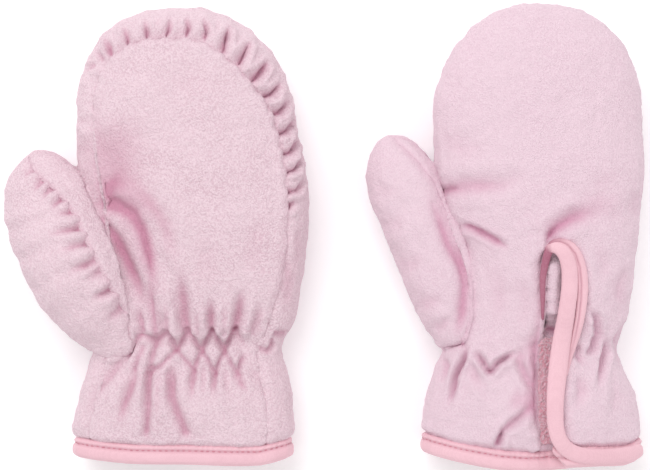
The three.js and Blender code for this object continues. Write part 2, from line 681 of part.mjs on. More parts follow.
// The outside with the palm's folds, fine across the wrist where elastic draws it in.
function palmedHand(mitten, hand, seam) {
  const upper = mitten.palmSide > 0;
  const places = placesOf(hand, 0, 5, 16, upper ? { from: 16, to: 48, step: 2.3 } : null);
  const shares = upper ? evenly(10, 0.1, 1) : [0.5, 1];
  const lines = [...shares, 1.1].map((share) => ({
    places,
    turn: (at) => hand.turnAt(share * seam.share(at), upper),
  }));
  const edge = { places, turn: () => PI / 2 };
  return balloonOf(mitten, hand, 0, upper ? [...lines, edge] : [edge, ...lines.reverse()], (p) => {
    if (!upper) return place(mitten, p.x, p.y, p.z);
    const pleated = new THREE.Vector3(p.x, p.y, p.z + smoothStep(12, 15, p.z) * pleatAt(mitten, p.x, p.y));
    return settled(mitten, pleated, mitten.folds);
  });
}

// Short wrinkles that the seam draws up on the outer piece of a thumb.
function wrinkleAt(mitten, y, across, up) {
  const side = smoothStep(0.3, -0.3, across) * smoothStep(-0.6, 0.1, up);
  return -side * mitten.wrinkles.reduce((sum, row) => sum + row.depth * exp(-pow((y - row.y) / row.width, 2)), 0);
}

// A thumb's tube: the outside where the inset is 0, or its hollow.
function thumbOf(mitten, inset, spacing, sides) {
  const path = measuredPath(mitten.thumb);
  const at = (column, length) => read(path, "length", column, length);
  const [capFrom, end] = [last(path).length * mitten.thumbCap, last(path).length - inset];
  const capSteps = ceil(8 / spacing) + 2;
  const cap = evenly(capSteps, 0, PI / 2 - 0.12).slice(1).map((turn) => mix(capFrom, end, sin(turn)));
  const rings = [...evenly(ceil(capFrom / spacing), 0, capFrom), ...cap].map((length) => {
    const shrink = sqrt(1 - pow(max(length - capFrom, 0) / (end - capFrom), 2));
    const right = rightOf(path, length);
    return evenly(sides, 0, 2 * PI).slice(1).map((angle) => {
      const power = 2 / 2.2;
      const across = sign(cos(angle)) * pow(abs(cos(angle)), power);
      const up = sign(sin(angle)) * pow(abs(sin(angle)), power);
      const smaller = inset - (inset ? 0 : wrinkleAt(mitten, at("y", length), across, up));
      const out = (at("half", length) - smaller) * shrink * across;
      const z = at("z", length) + (at("thick", length) - smaller) * shrink * up;
      return place(mitten, at("x", length) + right.x * out, at("y", length) + right.y * out, max(z, inset));
    });
  });
  return tubeOf(rings);
}

// The two pieces of a thumb, split along its upper seam, and its hollow.
function thumbPieces(mitten, seam) {
  const inside = thumbOf(mitten, wall, 6, 12);
  const justOut = handOf(mitten, -seamGap);
  const hand = palmedHand(mitten, justOut, seam).add(gatheredHand(mitten, justOut, seam));
  const shell = thumbOf(mitten, 0, 3, 15).subtract(inside).subtract(hand);
  const beyond = 70;
  const palmwards = (margin) => {
    const seam = mitten.thumbSeam.map(({ x, y }) => ({ x: x + margin, y }));
    const corners = [last(seam).y, seam[0].y].map((y) => ({ x: beyond, y }));
    return columnOf([...seam, ...corners], mitten.thumbSplit + margin, beyond);
  };
  return {
    hollow: inside,
    inner: shell.intersect(palmwards(seamGap / 2)),
    outer: shell.subtract(palmwards(-seamGap / 2)),
  };
}

// The outer face of the back near the slit, with a height above it. A mitten with its palm up rests on it.
function onBack(mitten, hand) {
  if (mitten.palmSide > 0) return (x, y, up) => max(-up, 0);
  return (x, y, up) => hand.above(x, y) + up;
}

// A band of tape along a path in plan, with its edges rounded.
function bandOf(mitten, rows, onFace, above, below) {
  const path = measuredPath(rows);
  const spacing = 3.2;
  const rings = evenly(ceil(last(path).length / spacing), 0, last(path).length).map((length) => {
    const right = rightOf(path, length);
    const half = read(path, "length", "width", length) / 2;
    const bevel = min(0.6, half * 0.6);
    const section = [
      { across: -half, up: bevel - below },
      { across: -half, up: above - bevel },
      { across: bevel - half, up: above },
      { across: half - bevel, up: above },
      { across: half, up: above - bevel },
      { across: half, up: bevel - below },
      { across: half - bevel, up: -below },
      { across: bevel - half, up: -below },
    ];
    return section.map(({ across, up }) => {
      const x = read(path, "length", "x", length) + right.x * across;
      const y = read(path, "length", "y", length) + right.y * across;
      return place(mitten, x, y, onFace(x, y, up + liftAt(mitten, x, y)));
    });
  });
  return tubeOf(rings);
}

// The tape round the hem, from the end of the underlap, round the cuff, to the flap's corner.
function hemTapeOf(mitten, hand) {
  const side = -mitten.palmSide;
  const y = hemTape.width / 2;
  const onFace = onBack(mitten, hand);
  const hemPlace = quarterOutline + hand.first.along - y;
  const turns = evenly(60, side > 0 ? 0.03 : PI - 0.03, side > 0 ? PI : 0);
  const round = (turn, edge) => hand.point(edge * hemPlace, turn);
  const onBackSide = (p) => p.z < 12 === side < 0;
  const { underlap, flap } = slit.hemEnd;
  const route = [
    ...evenly(4, underlap, flap).map((x) => ({ x, z: onFace(x, y, -mitten.underlapHem), under: 1 })),
    ...turns.map((turn) => round(turn, -1)),
    ...turns.reverse().map((turn) => round(turn, 1)).filter((p) => p.x > flap + 0.2 || !onBackSide(p)),
    { x: flap, z: onFace(flap, y, 0), under: 0 },
  ];
  const path = route.map(({ x, z, under = 0 }, i) => {
    const overFlap = i > turns.length && z > 12 ? liftAt(mitten, x, y) : 0;
    return { x, y: z + overFlap, under };
  });
  const measured = measuredPath(path);
  const end = last(measured).length;
  const spacing = 4;
  const corner = 4.5;
  const [out, deep, bevel] = [hemTape.proud, 2.9, 0.9];
  const section = [
    { up: -deep, along: bevel },
    { up: -deep, along: hemTape.width - bevel },
    { up: bevel - deep, along: hemTape.width },
    { up: out - bevel, along: hemTape.width },
    { up: out, along: hemTape.width - bevel },
    { up: out, along: bevel },
    { up: out - bevel, along: 0 },
    { up: bevel - deep, along: 0 },
  ];
  const rings = evenly(ceil(end / spacing), 0, end).map((length) => {
    const right = rightOf(measured, length);
    const rounded = max(corner - (end - length), 0);
    const low = corner - sqrt(corner * corner - rounded * rounded);
    const under = read(measured, "length", "under", length) > 0.5;
    return section.map(({ up, along }) => {
      const x = read(measured, "length", "x", length) + side * right.x * up;
      const z = read(measured, "length", "y", length) + side * right.y * up;
      return place(mitten, x, mix(low, hemTape.width, along / hemTape.width), max(z, 0), under);
    });
  });
  return tubeOf(rings);
}

// A piece that lies on or under the back near the slit, between two depths below the back's outer face.
function layerOf(mitten, onFace, edges, top, bottom, columns, rows, under) {
  const at = (depth) => (u, v) => {
    const y = mix(edges[0].along, last(edges).along, v);
    const x = mix(read(edges, "along", "from", y), read(edges, "along", "to", y), u);
    const lift = under ? 0 : liftAt(mitten, x, y);
    return place(mitten, x, y, onFace(x, y, lift - depth), under);
  };
  return slabOf(columns, rows, at(top), at(bottom));
}

// What is cut away below the bottom of the fleece, where the hem tape runs
function belowHem(mitten) {
  const [columns, rows] = [24, 6];
  const levels = [-20, ...evenly(rows - 2, 5, 15), 60];
  const at = (y) => (u, v) => place(mitten, mix(-45, 45, u), y, levels[Math.round(v * rows)]);
  return slabOf(columns, rows, at(hemTape.width + seamGap), at(-30));
}

const fleece = new THREE.MeshStandardMaterial({ color: 0xecd0da, roughness: 0.95, metalness: 0 });
const tape = new THREE.MeshStandardMaterial({ color: 0xf0bec9, roughness: 0.5, metalness: 0 });
const fastener = new THREE.MeshStandardMaterial({ color: 0xcf8e9b, roughness: 0.9, metalness: 0 });

function meshOf(name, solid, material) {
  const { vertProperties, triVerts } = solid.getMesh();
  const geometry = new THREE.BufferGeometry();
  geometry.setAttribute("position", new THREE.BufferAttribute(vertProperties, 3));
  geometry.setIndex(new THREE.BufferAttribute(triVerts, 1));
  geometry.computeVertexNormals();
  const mesh = new THREE.Mesh(geometry, material);
  mesh.name = name;
  return mesh;
}

function mittenOf(mitten) {
  const { name } = mitten;
  const hand = handOf(mitten, 0);
  const seam = seamOf(mitten, hand);
  const onFace = onBack(mitten, hand);
  const hollow = hollowHand(mitten);
  const thumb = thumbPieces(mitten, seam);
  const below = belowHem(mitten);
  const [low, high] = mitten.palmSide > 0 ? [13, 60] : [-20, 9];
  const palmColumn = (margin) => columnOf(palmOutline(hand, seam, margin), low, high);
  const shellOf = (solid) => solid.subtract(hollow).subtract(thumb.hollow).subtract(below);
  const palm = shellOf(palmedHand(mitten, hand, seam).intersect(palmColumn(-seamGap / 2)));

  const pastHem = -30;
  const opening = [...slit.opening, { x: last(slit.opening).x, y: pastHem }, { x: slit.bodyEdge, y: pastHem }];
  const [slotLow, slotHigh] = mitten.palmSide > 0 ? [-20, 9] : [12, 60];
  const slot = columnOf(opening, slotLow, slotHigh);
  const back = shellOf(gatheredHand(mitten, hand, seam).subtract(palmColumn(seamGap / 2))).subtract(slot);

  const proud = mitten.lifted ? 0.4 : 0;
  const group = new THREE.Group();
  const add = (piece, solid, material) => group.add(meshOf(`${name}_${piece}`, solid, material));
  add("palm", palm, fleece);
  add("back", back, fleece);
  add("thumb_inner", thumb.inner.subtract(below), fleece);
  add("thumb_outer", thumb.outer.subtract(below), fleece);
  add("hem_tape", hemTapeOf(mitten, hand), tape);
  add("flap_tape", bandOf(mitten, slit.wideBand, onFace, proud, wall), tape);
  add("slit_tape", bandOf(mitten, slit.narrowBand, onFace, proud / 2, wall), tape);
  add("underlap", layerOf(mitten, onFace, slit.underlap, underlapDepth, underlapDepth + wall, 3, 10, true), fleece);
  if (mitten.lifted) {
    const { thick, low: from, high: to, loopFrom, loopTo, hookFrom, hookTo } = tapePatch;
    const loop = [from, to].map((along) => ({ along, from: loopFrom, to: loopTo }));
    const hook = [from, to].map((along) => ({ along, from: hookFrom, to: hookTo }));
    const loopTop = underlapDepth - seamGap - thick;
    const hookTop = wall + 2 * seamGap;
    add("loop_tape", layerOf(mitten, onFace, loop, loopTop, loopTop + thick, 3, 6, true), fastener);
    add("hook_tape", layerOf(mitten, onFace, hook, hookTop, hookTop + thick, 3, 6, false), fastener);
  }
  return group;
}

const pair = new THREE.Group();
[palmUp, backUp].forEach((mitten, i) => {
  const group = mittenOf(mitten);
  group.position.set(pairCentre.x + (i - 0.5) * pairSpacing, pairCentre.y, 0);
  pair.add(group);
});

export default pair;
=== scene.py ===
import bpy
import math
import numpy as np
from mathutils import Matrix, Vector
from mathutils.bvhtree import BVHTree


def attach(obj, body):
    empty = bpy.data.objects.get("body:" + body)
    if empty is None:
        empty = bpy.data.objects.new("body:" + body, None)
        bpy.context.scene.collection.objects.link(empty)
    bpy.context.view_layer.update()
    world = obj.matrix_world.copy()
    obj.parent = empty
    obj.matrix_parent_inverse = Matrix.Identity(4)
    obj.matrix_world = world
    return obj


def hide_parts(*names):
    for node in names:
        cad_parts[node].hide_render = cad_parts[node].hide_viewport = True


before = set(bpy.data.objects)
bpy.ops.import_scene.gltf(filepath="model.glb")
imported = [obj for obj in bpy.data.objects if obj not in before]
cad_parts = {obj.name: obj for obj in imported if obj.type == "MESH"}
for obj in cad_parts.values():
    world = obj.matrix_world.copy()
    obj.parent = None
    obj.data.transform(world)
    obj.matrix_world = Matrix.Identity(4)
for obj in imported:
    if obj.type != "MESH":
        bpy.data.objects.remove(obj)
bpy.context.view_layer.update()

# The camera looks straight down. Tables give places in plan in steps of 0.3 mm, counted right and down from
# the corner of the picture, on the level that the camera is aimed at. Sizes here are in millimetres.
sight = {"step": 0.3, "middleX": 323.67, "middleY": 234.67, "level": 12, "distance": 460.4}


def plan(px, py, height=sight["level"]):
    closer = 1 - (height - sight["level"]) / sight["distance"]
    x = (px - sight["middleX"]) * sight["step"] * closer
    return x, (sight["middleY"] - py) * sight["step"] * closer


# The same for points of the model: where each one is seen from above, on the level of the camera's aim.
def seenFromAbove(points):
    return points[:, :2] / (1 - (points[:, [2]] - sight["level"]) / sight["distance"])


# camera and studio light

view = {"lens": 85, "clipStart": 0.01, "x": 0.0004, "y": -0.0001}
camera = bpy.data.objects.new("camera", bpy.data.cameras.new("camera"))
bpy.context.scene.collection.objects.link(camera)
camera.data.lens = view["lens"]
camera.data.clip_start = view["clipStart"]
camera.location = (view["x"], view["y"], (sight["level"] + sight["distance"]) / 1000)
bpy.context.scene.camera = camera
bpy.context.scene.view_settings.view_transform = "Standard"

studio = {
    "sky": {"colour": (1.0, 0.985, 0.99, 1), "strength": 0.74},
    "softbox": {"size": 0.7, "power": 4.1, "place": (-0.28, 0.5, 0.75)},
    "front": {"size": 0.5, "power": 0.9, "place": (0.45, -0.35, 0.7)},
}
world = bpy.data.worlds.new("studio")
bpy.context.scene.world = world
world.use_nodes = True
world.node_tree.nodes["Background"].inputs["Color"].default_value = studio["sky"]["colour"]
world.node_tree.nodes["Background"].inputs["Strength"].default_value = studio["sky"]["strength"]
for name in ("softbox", "front"):
    values = studio[name]
    light = bpy.data.objects.new(name, bpy.data.lights.new(name, "AREA"))
    bpy.context.scene.collection.objects.link(light)
    light.data.size = values["size"]
    light.data.energy = values["power"]
    light.location = values["place"]
    light.rotation_euler = (-Vector(values["place"])).to_track_quat("-Z", "Y").to_euler()
print("camera and lights are set")


# material helpers

def newGroup(name, inputs):
    group = bpy.data.node_groups.new(name, "ShaderNodeTree")
    for label, value in inputs.items():
        kind = "NodeSocketColor" if isinstance(value, tuple) else "NodeSocketFloat"
        group.interface.new_socket(label, in_out="INPUT", socket_type=kind).default_value = value
    group.interface.new_socket("Colour", in_out="OUTPUT", socket_type="NodeSocketColor")
    group.interface.new_socket("Height", in_out="OUTPUT", socket_type="NodeSocketFloat")
    return group, group.nodes.new("NodeGroupInput"), group.nodes.new("NodeGroupOutput")


def feed(tree, sockets, values):
    for socket, value in zip(sockets, values):
        if isinstance(value, (int, float, tuple)):
            socket.default_value = value
        else:
            tree.links.new(value, socket)


def mathNode(tree, operation, a, b):
    node = tree.nodes.new("ShaderNodeMath")
    node.operation = operation
    feed(tree, node.inputs, (a, b))
    return node.outputs[0]


def mixColour(tree, factor, a, b):
    node = tree.nodes.new("ShaderNodeMix")
    node.data_type = "RGBA"
    feed(tree, (node.inputs[0], node.inputs[6], node.inputs[7]), (factor, a, b))
    return node.outputs[2]


def noiseNode(tree, scale, detail, roughness):
    node = tree.nodes.new("ShaderNodeTexNoise")
    node.inputs["Scale"].default_value = scale
    node.inputs["Detail"].default_value = detail
    node.inputs["Roughness"].default_value = roughness
    return node


def stretched(tree, value, low, high):
    node = tree.nodes.new("ShaderNodeMapRange")
    node.interpolation_type = "SMOOTHSTEP"
    node.inputs["From Min"].default_value = low
    node.inputs["From Max"].default_value = high
    tree.links.new(value, node.inputs["Value"])
    return node.outputs["Result"]


# brushed fleece: short curled pile that stands in small tufts, with painted shade between them that is stronger
# in random patches, and painted shade in folds where the fold attribute gives it
def makeFleeceGroup():
    group, given, out = newGroup("fleecePile", {
        "Pile": (0.84, 0.62, 0.70, 1),
        "Shade between tufts": (0.7, 0.4, 0.5, 1),
        "Shade in folds": (0.6, 0.3, 0.4, 1),
        "Fold shade": 0.0,
        "Tuft shade strength": 0.5,
        "Tuft scale": 1300.0,
    })
    place = group.nodes.new("ShaderNodeTexCoord").outputs["Object"]
    tufts = group.nodes.new("ShaderNodeTexVoronoi")
    tufts.feature = "SMOOTH_F1"
    group.links.new(given.outputs["Tuft scale"], tufts.inputs["Scale"])
    tufts.inputs["Smoothness"].default_value = 0.7
    fibres = noiseNode(group, 4200, 2, 0.6)
    clumps = noiseNode(group, 1500, 2, 0.6)
    patches = noiseNode(group, 55, 2, 0.5)
    for node in (tufts, fibres, clumps, patches):
        group.links.new(place, node.inputs["Vector"])
    tuftTop = stretched(group, tufts.outputs["Distance"], 0.75, 0.1)
    clumpTop = stretched(group, clumps.outputs["Fac"], 0.3, 0.7)
    fibre = stretched(group, fibres.outputs["Fac"], 0.3, 0.7)
    height = mathNode(group, "MULTIPLY", tuftTop, 0.5)
    for part, share in ((clumpTop, 0.4), (fibre, 0.3)):
        height = mathNode(group, "ADD", height, mathNode(group, "MULTIPLY", part, share))
    gap = mathNode(group, "SUBTRACT", 1.0, stretched(group, height, 0.25, 0.75))
    patch = stretched(group, patches.outputs["Fac"], 0.35, 0.68)
    inPatches = mathNode(group, "ADD", 0.6, mathNode(group, "MULTIPLY", patch, 0.4))
    gap = mathNode(group, "MULTIPLY", gap, inPatches)
    shade = mathNode(group, "MULTIPLY", gap, given.outputs["Tuft shade strength"])
    # painted shade between the tufts: the lower the pile, the darker, stronger in random patches
    colour = mixColour(group, shade, given.outputs["Pile"], given.outputs["Shade between tufts"])
    # painted shade in folds, seams and grooves, as much as the fold attribute gives
    colour = mixColour(group, given.outputs["Fold shade"], colour, given.outputs["Shade in folds"])
    group.links.new(colour, out.inputs["Colour"])
    group.links.new(height, out.inputs["Height"])
    return group


# binding tape: a fine rib across the tape with painted shade between its threads, a soft random unevenness of
# tone, and painted shade where the fold attribute marks a groove or a hollow
def makeTapeGroup():
    group, given, out = newGroup("bindingWeave", {
        "Thread": (0.9, 0.52, 0.6, 1),
        "Shade and deep tone": (0.75, 0.35, 0.43, 1),
        "Fold shade": 0.0,
        "Rib": 2600.0,
    })
    place = group.nodes.new("ShaderNodeTexCoord").outputs["Object"]
    weave = group.nodes.new("ShaderNodeTexVoronoi")
    weave.inputs["Randomness"].default_value = 0.35
    group.links.new(given.outputs["Rib"], weave.inputs["Scale"])
    slubs = noiseNode(group, 420, 2, 0.5)
    tone = noiseNode(group, 90, 2, 0.5)
    for node in (weave, slubs, tone):
        group.links.new(place, node.inputs["Vector"])
    thread = stretched(group, weave.outputs["Distance"], 0.8, 0.1)
    uneven = stretched(group, tone.outputs["Fac"], 0.3, 0.7)
    # painted shade between the rib's threads, a little random tone, and the painted shade of grooves and
    # hollows
    shade = mathNode(group, "MULTIPLY", mathNode(group, "SUBTRACT", 1.0, thread), 0.12)
    shade = mathNode(group, "ADD", shade, mathNode(group, "MULTIPLY", uneven, 0.06))
    shade = mathNode(group, "ADD", shade, given.outputs["Fold shade"])
    colour = mixColour(group, shade, given.outputs["Thread"], given.outputs["Shade and deep tone"])
    height = mathNode(group, "ADD", thread, mathNode(group, "MULTIPLY", slubs.outputs["Fac"], 1.2))
    group.links.new(colour, out.inputs["Colour"])
    group.links.new(height, out.inputs["Height"])
    return group


fleeceGroup = makeFleeceGroup()
tapeGroup = makeTapeGroup()


def clothMaterial(name, group, values, roughness, sheen, bump):
    material = bpy.data.materials.new(name)
    material.use_nodes = True
    tree = material.node_tree
    shader = tree.nodes["Principled BSDF"]
    shader.inputs["Roughness"].default_value = roughness
    shader.inputs["Specular IOR Level"].default_value = 0.25
    shader.inputs["Sheen Weight"].default_value = sheen
    shader.inputs["Sheen Roughness"].default_value = 0.5
    shader.inputs["Sheen Tint"].default_value = (1.0, 0.93, 0.96, 1)
    pattern = tree.nodes.new("ShaderNodeGroup")
    pattern.node_tree = group
    for label, value in values.items():
        pattern.inputs[label].default_value = value
    # the fold attribute holds each point's painted shade
    fold = tree.nodes.new("ShaderNodeAttribute")
    fold.attribute_name = "fold"
    tree.links.new(fold.outputs["Fac"], pattern.inputs["Fold shade"])
    relief = tree.nodes.new("ShaderNodeBump")
    relief.inputs["Strength"].default_value = bump["strength"]
    relief.inputs["Distance"].default_value = bump["height"]
    tree.links.new(pattern.outputs["Colour"], shader.inputs["Base Color"])
    tree.links.new(pattern.outputs["Height"], relief.inputs["Height"])
    tree.links.new(relief.outputs["Normal"], shader.inputs["Normal"])
    return material


fleece = clothMaterial(
    "nubbyFleece",
    fleeceGroup,
    {
        "Pile": (0.91, 0.71, 0.78, 1),
        "Shade between tufts": (0.62, 0.36, 0.45, 1),
        "Shade in folds": (0.62, 0.235, 0.37, 1),
        "Tuft shade strength": 0.48,
        "Tuft scale": 1900.0,
    },
    roughness=0.95,
    sheen=0.25,
    bump={"strength": 0.8, "height": 0.00042},
)
brushedFleece = clothMaterial(
    "brushedFleece",
    fleeceGroup,
    {
        "Pile": (0.86, 0.665, 0.745, 1),
        "Shade between tufts": (0.66, 0.41, 0.52, 1),
        "Shade in folds": (0.64, 0.265, 0.41, 1),
        "Tuft shade strength": 0.32,
        "Tuft scale": 2300.0,
    },
    roughness=0.95,
    sheen=0.3,
    bump={"strength": 0.7, "height": 0.00035},
)
tape = clothMaterial(
    "bindingTape",
    tapeGroup,
    {"Thread": (0.89, 0.575, 0.64, 1), "Shade and deep tone": (0.33, 0.075, 0.145, 1), "Rib": 2600.0},
    roughness=0.55,
    sheen=0.1,
    bump={"strength": 0.35, "height": 0.00012},
)
fastener = clothMaterial(
    "fastenerPile",
    fleeceGroup,
    {
        "Pile": (1.0, 0.67, 0.76, 1),
        "Shade between tufts": (0.93, 0.30, 0.41, 1),
        "Shade in folds": (0.25, 0.08, 0.12, 1),
        "Tuft shade strength": 0.8,
        "Tuft scale": 1500.0,
    },
    roughness=0.8,
    sheen=0.3,
    bump={"strength": 1.0, "height": 0.0006},
)
thread = clothMaterial(
    "sewingThread",
    tapeGroup,
    {"Thread": (0.66, 0.27, 0.34, 1), "Shade and deep tone": (0.45, 0.15, 0.21, 1), "Rib": 6000.0},
    roughness=0.6,
    sheen=0.0,
    bump={"strength": 0.3, "height": 0.00005},
)
print("materials are made")


# shaping helpers

def selectNothing():
    bpy.ops.object.select_all(action="DESELECT")


def selectOnly(piece):
    selectNothing()
    piece.select_set(True)
    bpy.context.view_layer.objects.active = piece


# Joins corners that lie closer than merge, in metres, and turns all faces outward.
def cleaned(piece, merge=0):
    selectOnly(piece)
    bpy.ops.object.mode_set(mode="EDIT")
    bpy.ops.mesh.select_all(action="SELECT")
    if merge:
        bpy.ops.mesh.remove_doubles(threshold=merge)
    bpy.ops.mesh.normals_make_consistent(inside=False)
    bpy.ops.object.mode_set(mode="OBJECT")


def copyOf(node, name):
    piece = bpy.data.objects.new(name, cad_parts[node].data.copy())
    bpy.context.scene.collection.objects.link(piece)
    piece.data.materials.clear()
    cleaned(piece, merge=0.000002)
    return piece


def remeshed(piece, voxel):
    selectOnly(piece)
    change = piece.modifiers.new("even faces", "REMESH")
    change.mode = "VOXEL"
    change.voxel_size = voxel
    bpy.ops.object.modifier_apply(modifier=change.name)


def lumped(piece, size, strength):
    selectOnly(piece)
    lumps = bpy.data.textures.new("lumps", "CLOUDS")
    lumps.noise_scale = size
    lumps.noise_depth = 2
    change = piece.modifiers.new("lumps", "DISPLACE")
    change.texture = lumps
    change.texture_coords = "LOCAL"
    change.mid_level = 0.5
    change.strength = strength
    bpy.ops.object.modifier_apply(modifier=change.name)


def pointsOf(piece):
    flat = np.zeros(len(piece.data.vertices) * 3)
    piece.data.vertices.foreach_get("co", flat)
    return flat.reshape(-1, 3) * 1000


def putPoints(piece, points):
    piece.data.vertices.foreach_set("co", (points / 1000).ravel())
    piece.data.update()


def normalsOf(piece):
    flat = np.zeros(len(piece.data.vertices) * 3)
    piece.data.vertex_normals.foreach_get("vector", flat)
    return flat.reshape(-1, 3)


def edgesOf(piece):
    flat = np.zeros(len(piece.data.edges) * 2, int)
    piece.data.edges.foreach_get("vertices", flat)
    return flat.reshape(-1, 2)


def averaged(values, edges, times, share=0.5):
    count = np.bincount(edges.ravel(), minlength=len(values))
    for _ in range(times):
        total = np.zeros_like(values)
        for k in range(values.shape[1]):
            total[:, k] = np.bincount(edges[:, 0], values[edges[:, 1], k], len(values))
            total[:, k] += np.bincount(edges[:, 1], values[edges[:, 0], k], len(values))
        values = values + share * (total / np.maximum(count, 1)[:, None] - values)
    return values


def softened(piece, times):
    putPoints(piece, averaged(pointsOf(piece), edgesOf(piece), times))


def eased(low, high, values):
    t = np.clip((values - low) / (high - low), 0, 1)
    return t * t * (3 - 2 * t)


# How far each point lies from a line in plan, and its place along the line from 0 to 1
def alongLine(points, line):
    corners = np.array(line, float)
    steps = np.diff(corners, axis=0)
    lengths = np.hypot(steps[:, 0], steps[:, 1])
    ends = np.concatenate([[0], np.cumsum(lengths)])
    best = np.full(len(points), 1e9)
    place = np.zeros(len(points))
    for start, step, length, before in zip(corners, steps, lengths, ends):
        away = points[:, :2] - start
        t = np.clip(away @ step / (length * length), 0, 1)
        gap = np.hypot(*(away - t[:, None] * step).T)
        nearer = gap < best
        best[nearer] = gap[nearer]
        place[nearer] = ((before + t * length) / ends[-1])[nearer]
    return best, place


# One row of a table of folds: the line in plan, its width, its depth, which is a swell where it is negative,
# the lip, which is how much the cloth swells on either side, and its painted shade in the trough. The other
# columns are named: a broad painted shade that needs no depth, a taper towards the end, and how quickly the two
# ends fade.
def fold(line, width, depth=0, lip=0.3, shadeTint=0.55, broadShade=0, taper=0, ends=(0.3, 0.4)):
    row = {"line": line, "width": width, "depth": depth, "lip": lip, "shadeTint": shadeTint}
    return {**row, "broadShade": broadShade, "taper": taper, "ends": ends}


foldShape = {
    "reach": 5, "overrun": 0.02, "startWider": 0.25, "power": 1.5, "lipAt": 2.1, "lipWidth": 1.1,
    "shadeWidth": 0.8, "fullShadeDepth": 1.6,
}


# Depth, swell and painted shade of all the folds of a table at each point
def foldDepth(points, rows):
    depth, swell, shadeTint = np.zeros((3, len(points)))
    points = seenFromAbove(points)
    for row in rows:
        line = [plan(px, py) for px, py in row["line"]]
        low = np.min(line, axis=0) - row["width"] * foldShape["reach"]
        high = np.max(line, axis=0) + row["width"] * foldShape["reach"]
        near = np.all((points > low) & (points < high), axis=1)
        if not near.any():
            continue
        gap, place = alongLine(points[near], line)
        start, end = row["ends"]
        over = foldShape["overrun"]
        amount = eased(-over, start, place) * (1 - eased(1 - end, 1 + over, place))
        width = row["width"] * (1 + foldShape["startWider"] * row["taper"] - row["taper"] * place)
        trough = np.exp(-((gap / width) ** foldShape["power"]))
        lip = np.exp(-(((gap - foldShape["lipAt"] * width) / (foldShape["lipWidth"] * width)) ** 2))
        shade = np.exp(-((gap / (foldShape["shadeWidth"] * width)) ** 2))
        depth[near] += row["depth"] * amount * trough
        swell[near] += row["lip"] * abs(row["depth"]) * amount * lip
        # painted shade in the trough, growing with its depth, and a broad painted shade that needs no depth
        shadeTint[near] += row["shadeTint"] * amount * shade * min(row["depth"] / foldShape["fullShadeDepth"], 1)
        shadeTint[near] += row["broadShade"] * amount * np.exp(-((gap / width) ** 2))
    return depth, swell, np.maximum(shadeTint, 0)


def treeOf(names):
    corners, faces = [], []
    for name in names:
        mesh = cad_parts[name].data
        start = len(corners)
        corners += [v.co * 1000 for v in mesh.vertices]
        faces += [[start + k for k in polygon.vertices] for polygon in mesh.polygons]
    return BVHTree.FromPolygons(corners, faces)


def gapTo(points, tree, reach):
    gap = np.full(len(points), 1e3)
    toward = np.zeros_like(points)
    for i, point in enumerate(points):
        spot, _, _, distance = tree.find_nearest(Vector(point), reach)
        if spot is not None:
            gap[i] = distance
            toward[i] = (np.array(spot) - point) / max(distance, 1e-6)
    return gap, toward


def axisOf(points, axis):
    rows = np.array(axis, float)
    best = np.full(len(points), 1e9)
    middle = np.zeros_like(points)
    for a, b in zip(rows[:-1], rows[1:]):
        t = np.clip((points - a) @ (b - a) / ((b - a) @ (b - a)), 0, 1)
        spot = a + t[:, None] * (b - a)
        gap = np.linalg.norm(points - spot, axis=1)
        nearer = gap < best
        best[nearer] = gap[nearer]
        middle[nearer] = spot[nearer]
    return middle


# How far each point's outward way agrees with the way from the middle line of the hand or the thumb
def facingOut(points, outward, axis):
    away = points - axisOf(points, axis)
    return np.einsum("ij,ij->i", outward, away) / np.linalg.norm(away, axis=1)


nodesOf = {side: [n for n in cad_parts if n.startswith(side)] for side in ("left", "right")}


drawnValues = {"share": 0.019, "upper": (15, 22), "beyondCuff": (-62, -38)}


# The upper faces of the left mitten lie a little nearer the middle than in the CAD.
def drawnIn(points):
    share = drawnValues["share"] * eased(*drawnValues["upper"], points[:, 2])
    share *= eased(*drawnValues["beyondCuff"], points[:, 1])
    return -share[:, None] * points * [1, 1, 0]


# The edges of the slit come closer together. A row is a level along the mitten, the edge's place and its shift.
slitRight = [
    (-67, 68, 0), (-60, 69.5, -0.8), (-52, 70.8, -1.9), (-44, 72, -2.7), (-36, 73.6, -3.1), (-28, 76, -3.1),
    (-20, 78, -3.1), (-12, 77.6, -3.0), (-6, 75.5, -2.6), (-2, 73, -1.6), (2, 71, 0),
]
slitLeft = [
    (-68, 63.4, -0.6), (-60, 63.6, -2.0), (-48, 63.6, -2.4), (-38, 63.6, -1.8), (-30, 63.6, -0.6),
    (-22, 63.6, 0),
]


slitValues = {"rightFade": 8.0, "leftFade": 6.0, "edge": (-3, -0.5), "upper": (10, 15)}


def slitClosed(points):
    move = np.zeros_like(points)
    level = points[:, 1]
    for rows, way, fade in ((slitRight, 1, "rightFade"), (slitLeft, -1, "leftFade")):
        levels, edges, shifts = np.array(rows).T
        edge, shift = np.interp(level, levels, edges), np.interp(level, levels, shifts)
        away = np.maximum((points[:, 0] - edge) * way, 0)
        side = eased(*slitValues["edge"], (points[:, 0] - edge) * way)
        upper = eased(*slitValues["upper"], points[:, 2])
        move[:, 0] += shift * side * np.exp(-((away / slitValues[fade]) ** 2)) * upper
    return move


fleeceValues = {
    "voxel": 0.00062, "soft": 3, "puffs": 0.0011, "lumps": 0.0005, "nap": 0.0002, "deepestTint": 0.8,
    "outer": (0.05, 0.35), "innerShare": 0.8, "shown": (-0.1, 0.4), "folds": [], "hiddenFolds": [],
}
seamValues = {
    "search": 6, "joinWithin": 1.4, "endsFacing": (0.05, 0.5), "overlap": 0.45, "rollAt": 2.2,
    "fades": (-200, -201), "calm": 0, "calmSide": (-66, -58), "shadeTint": 0.25, "shadeReach": 0.9,
}
lumpSizes = {"puffs": 0.009, "lumps": 0.0022, "nap": 0.0009}


def onTable(points):
    points[:, 2] = np.maximum(points[:, 2], 0)
    return points


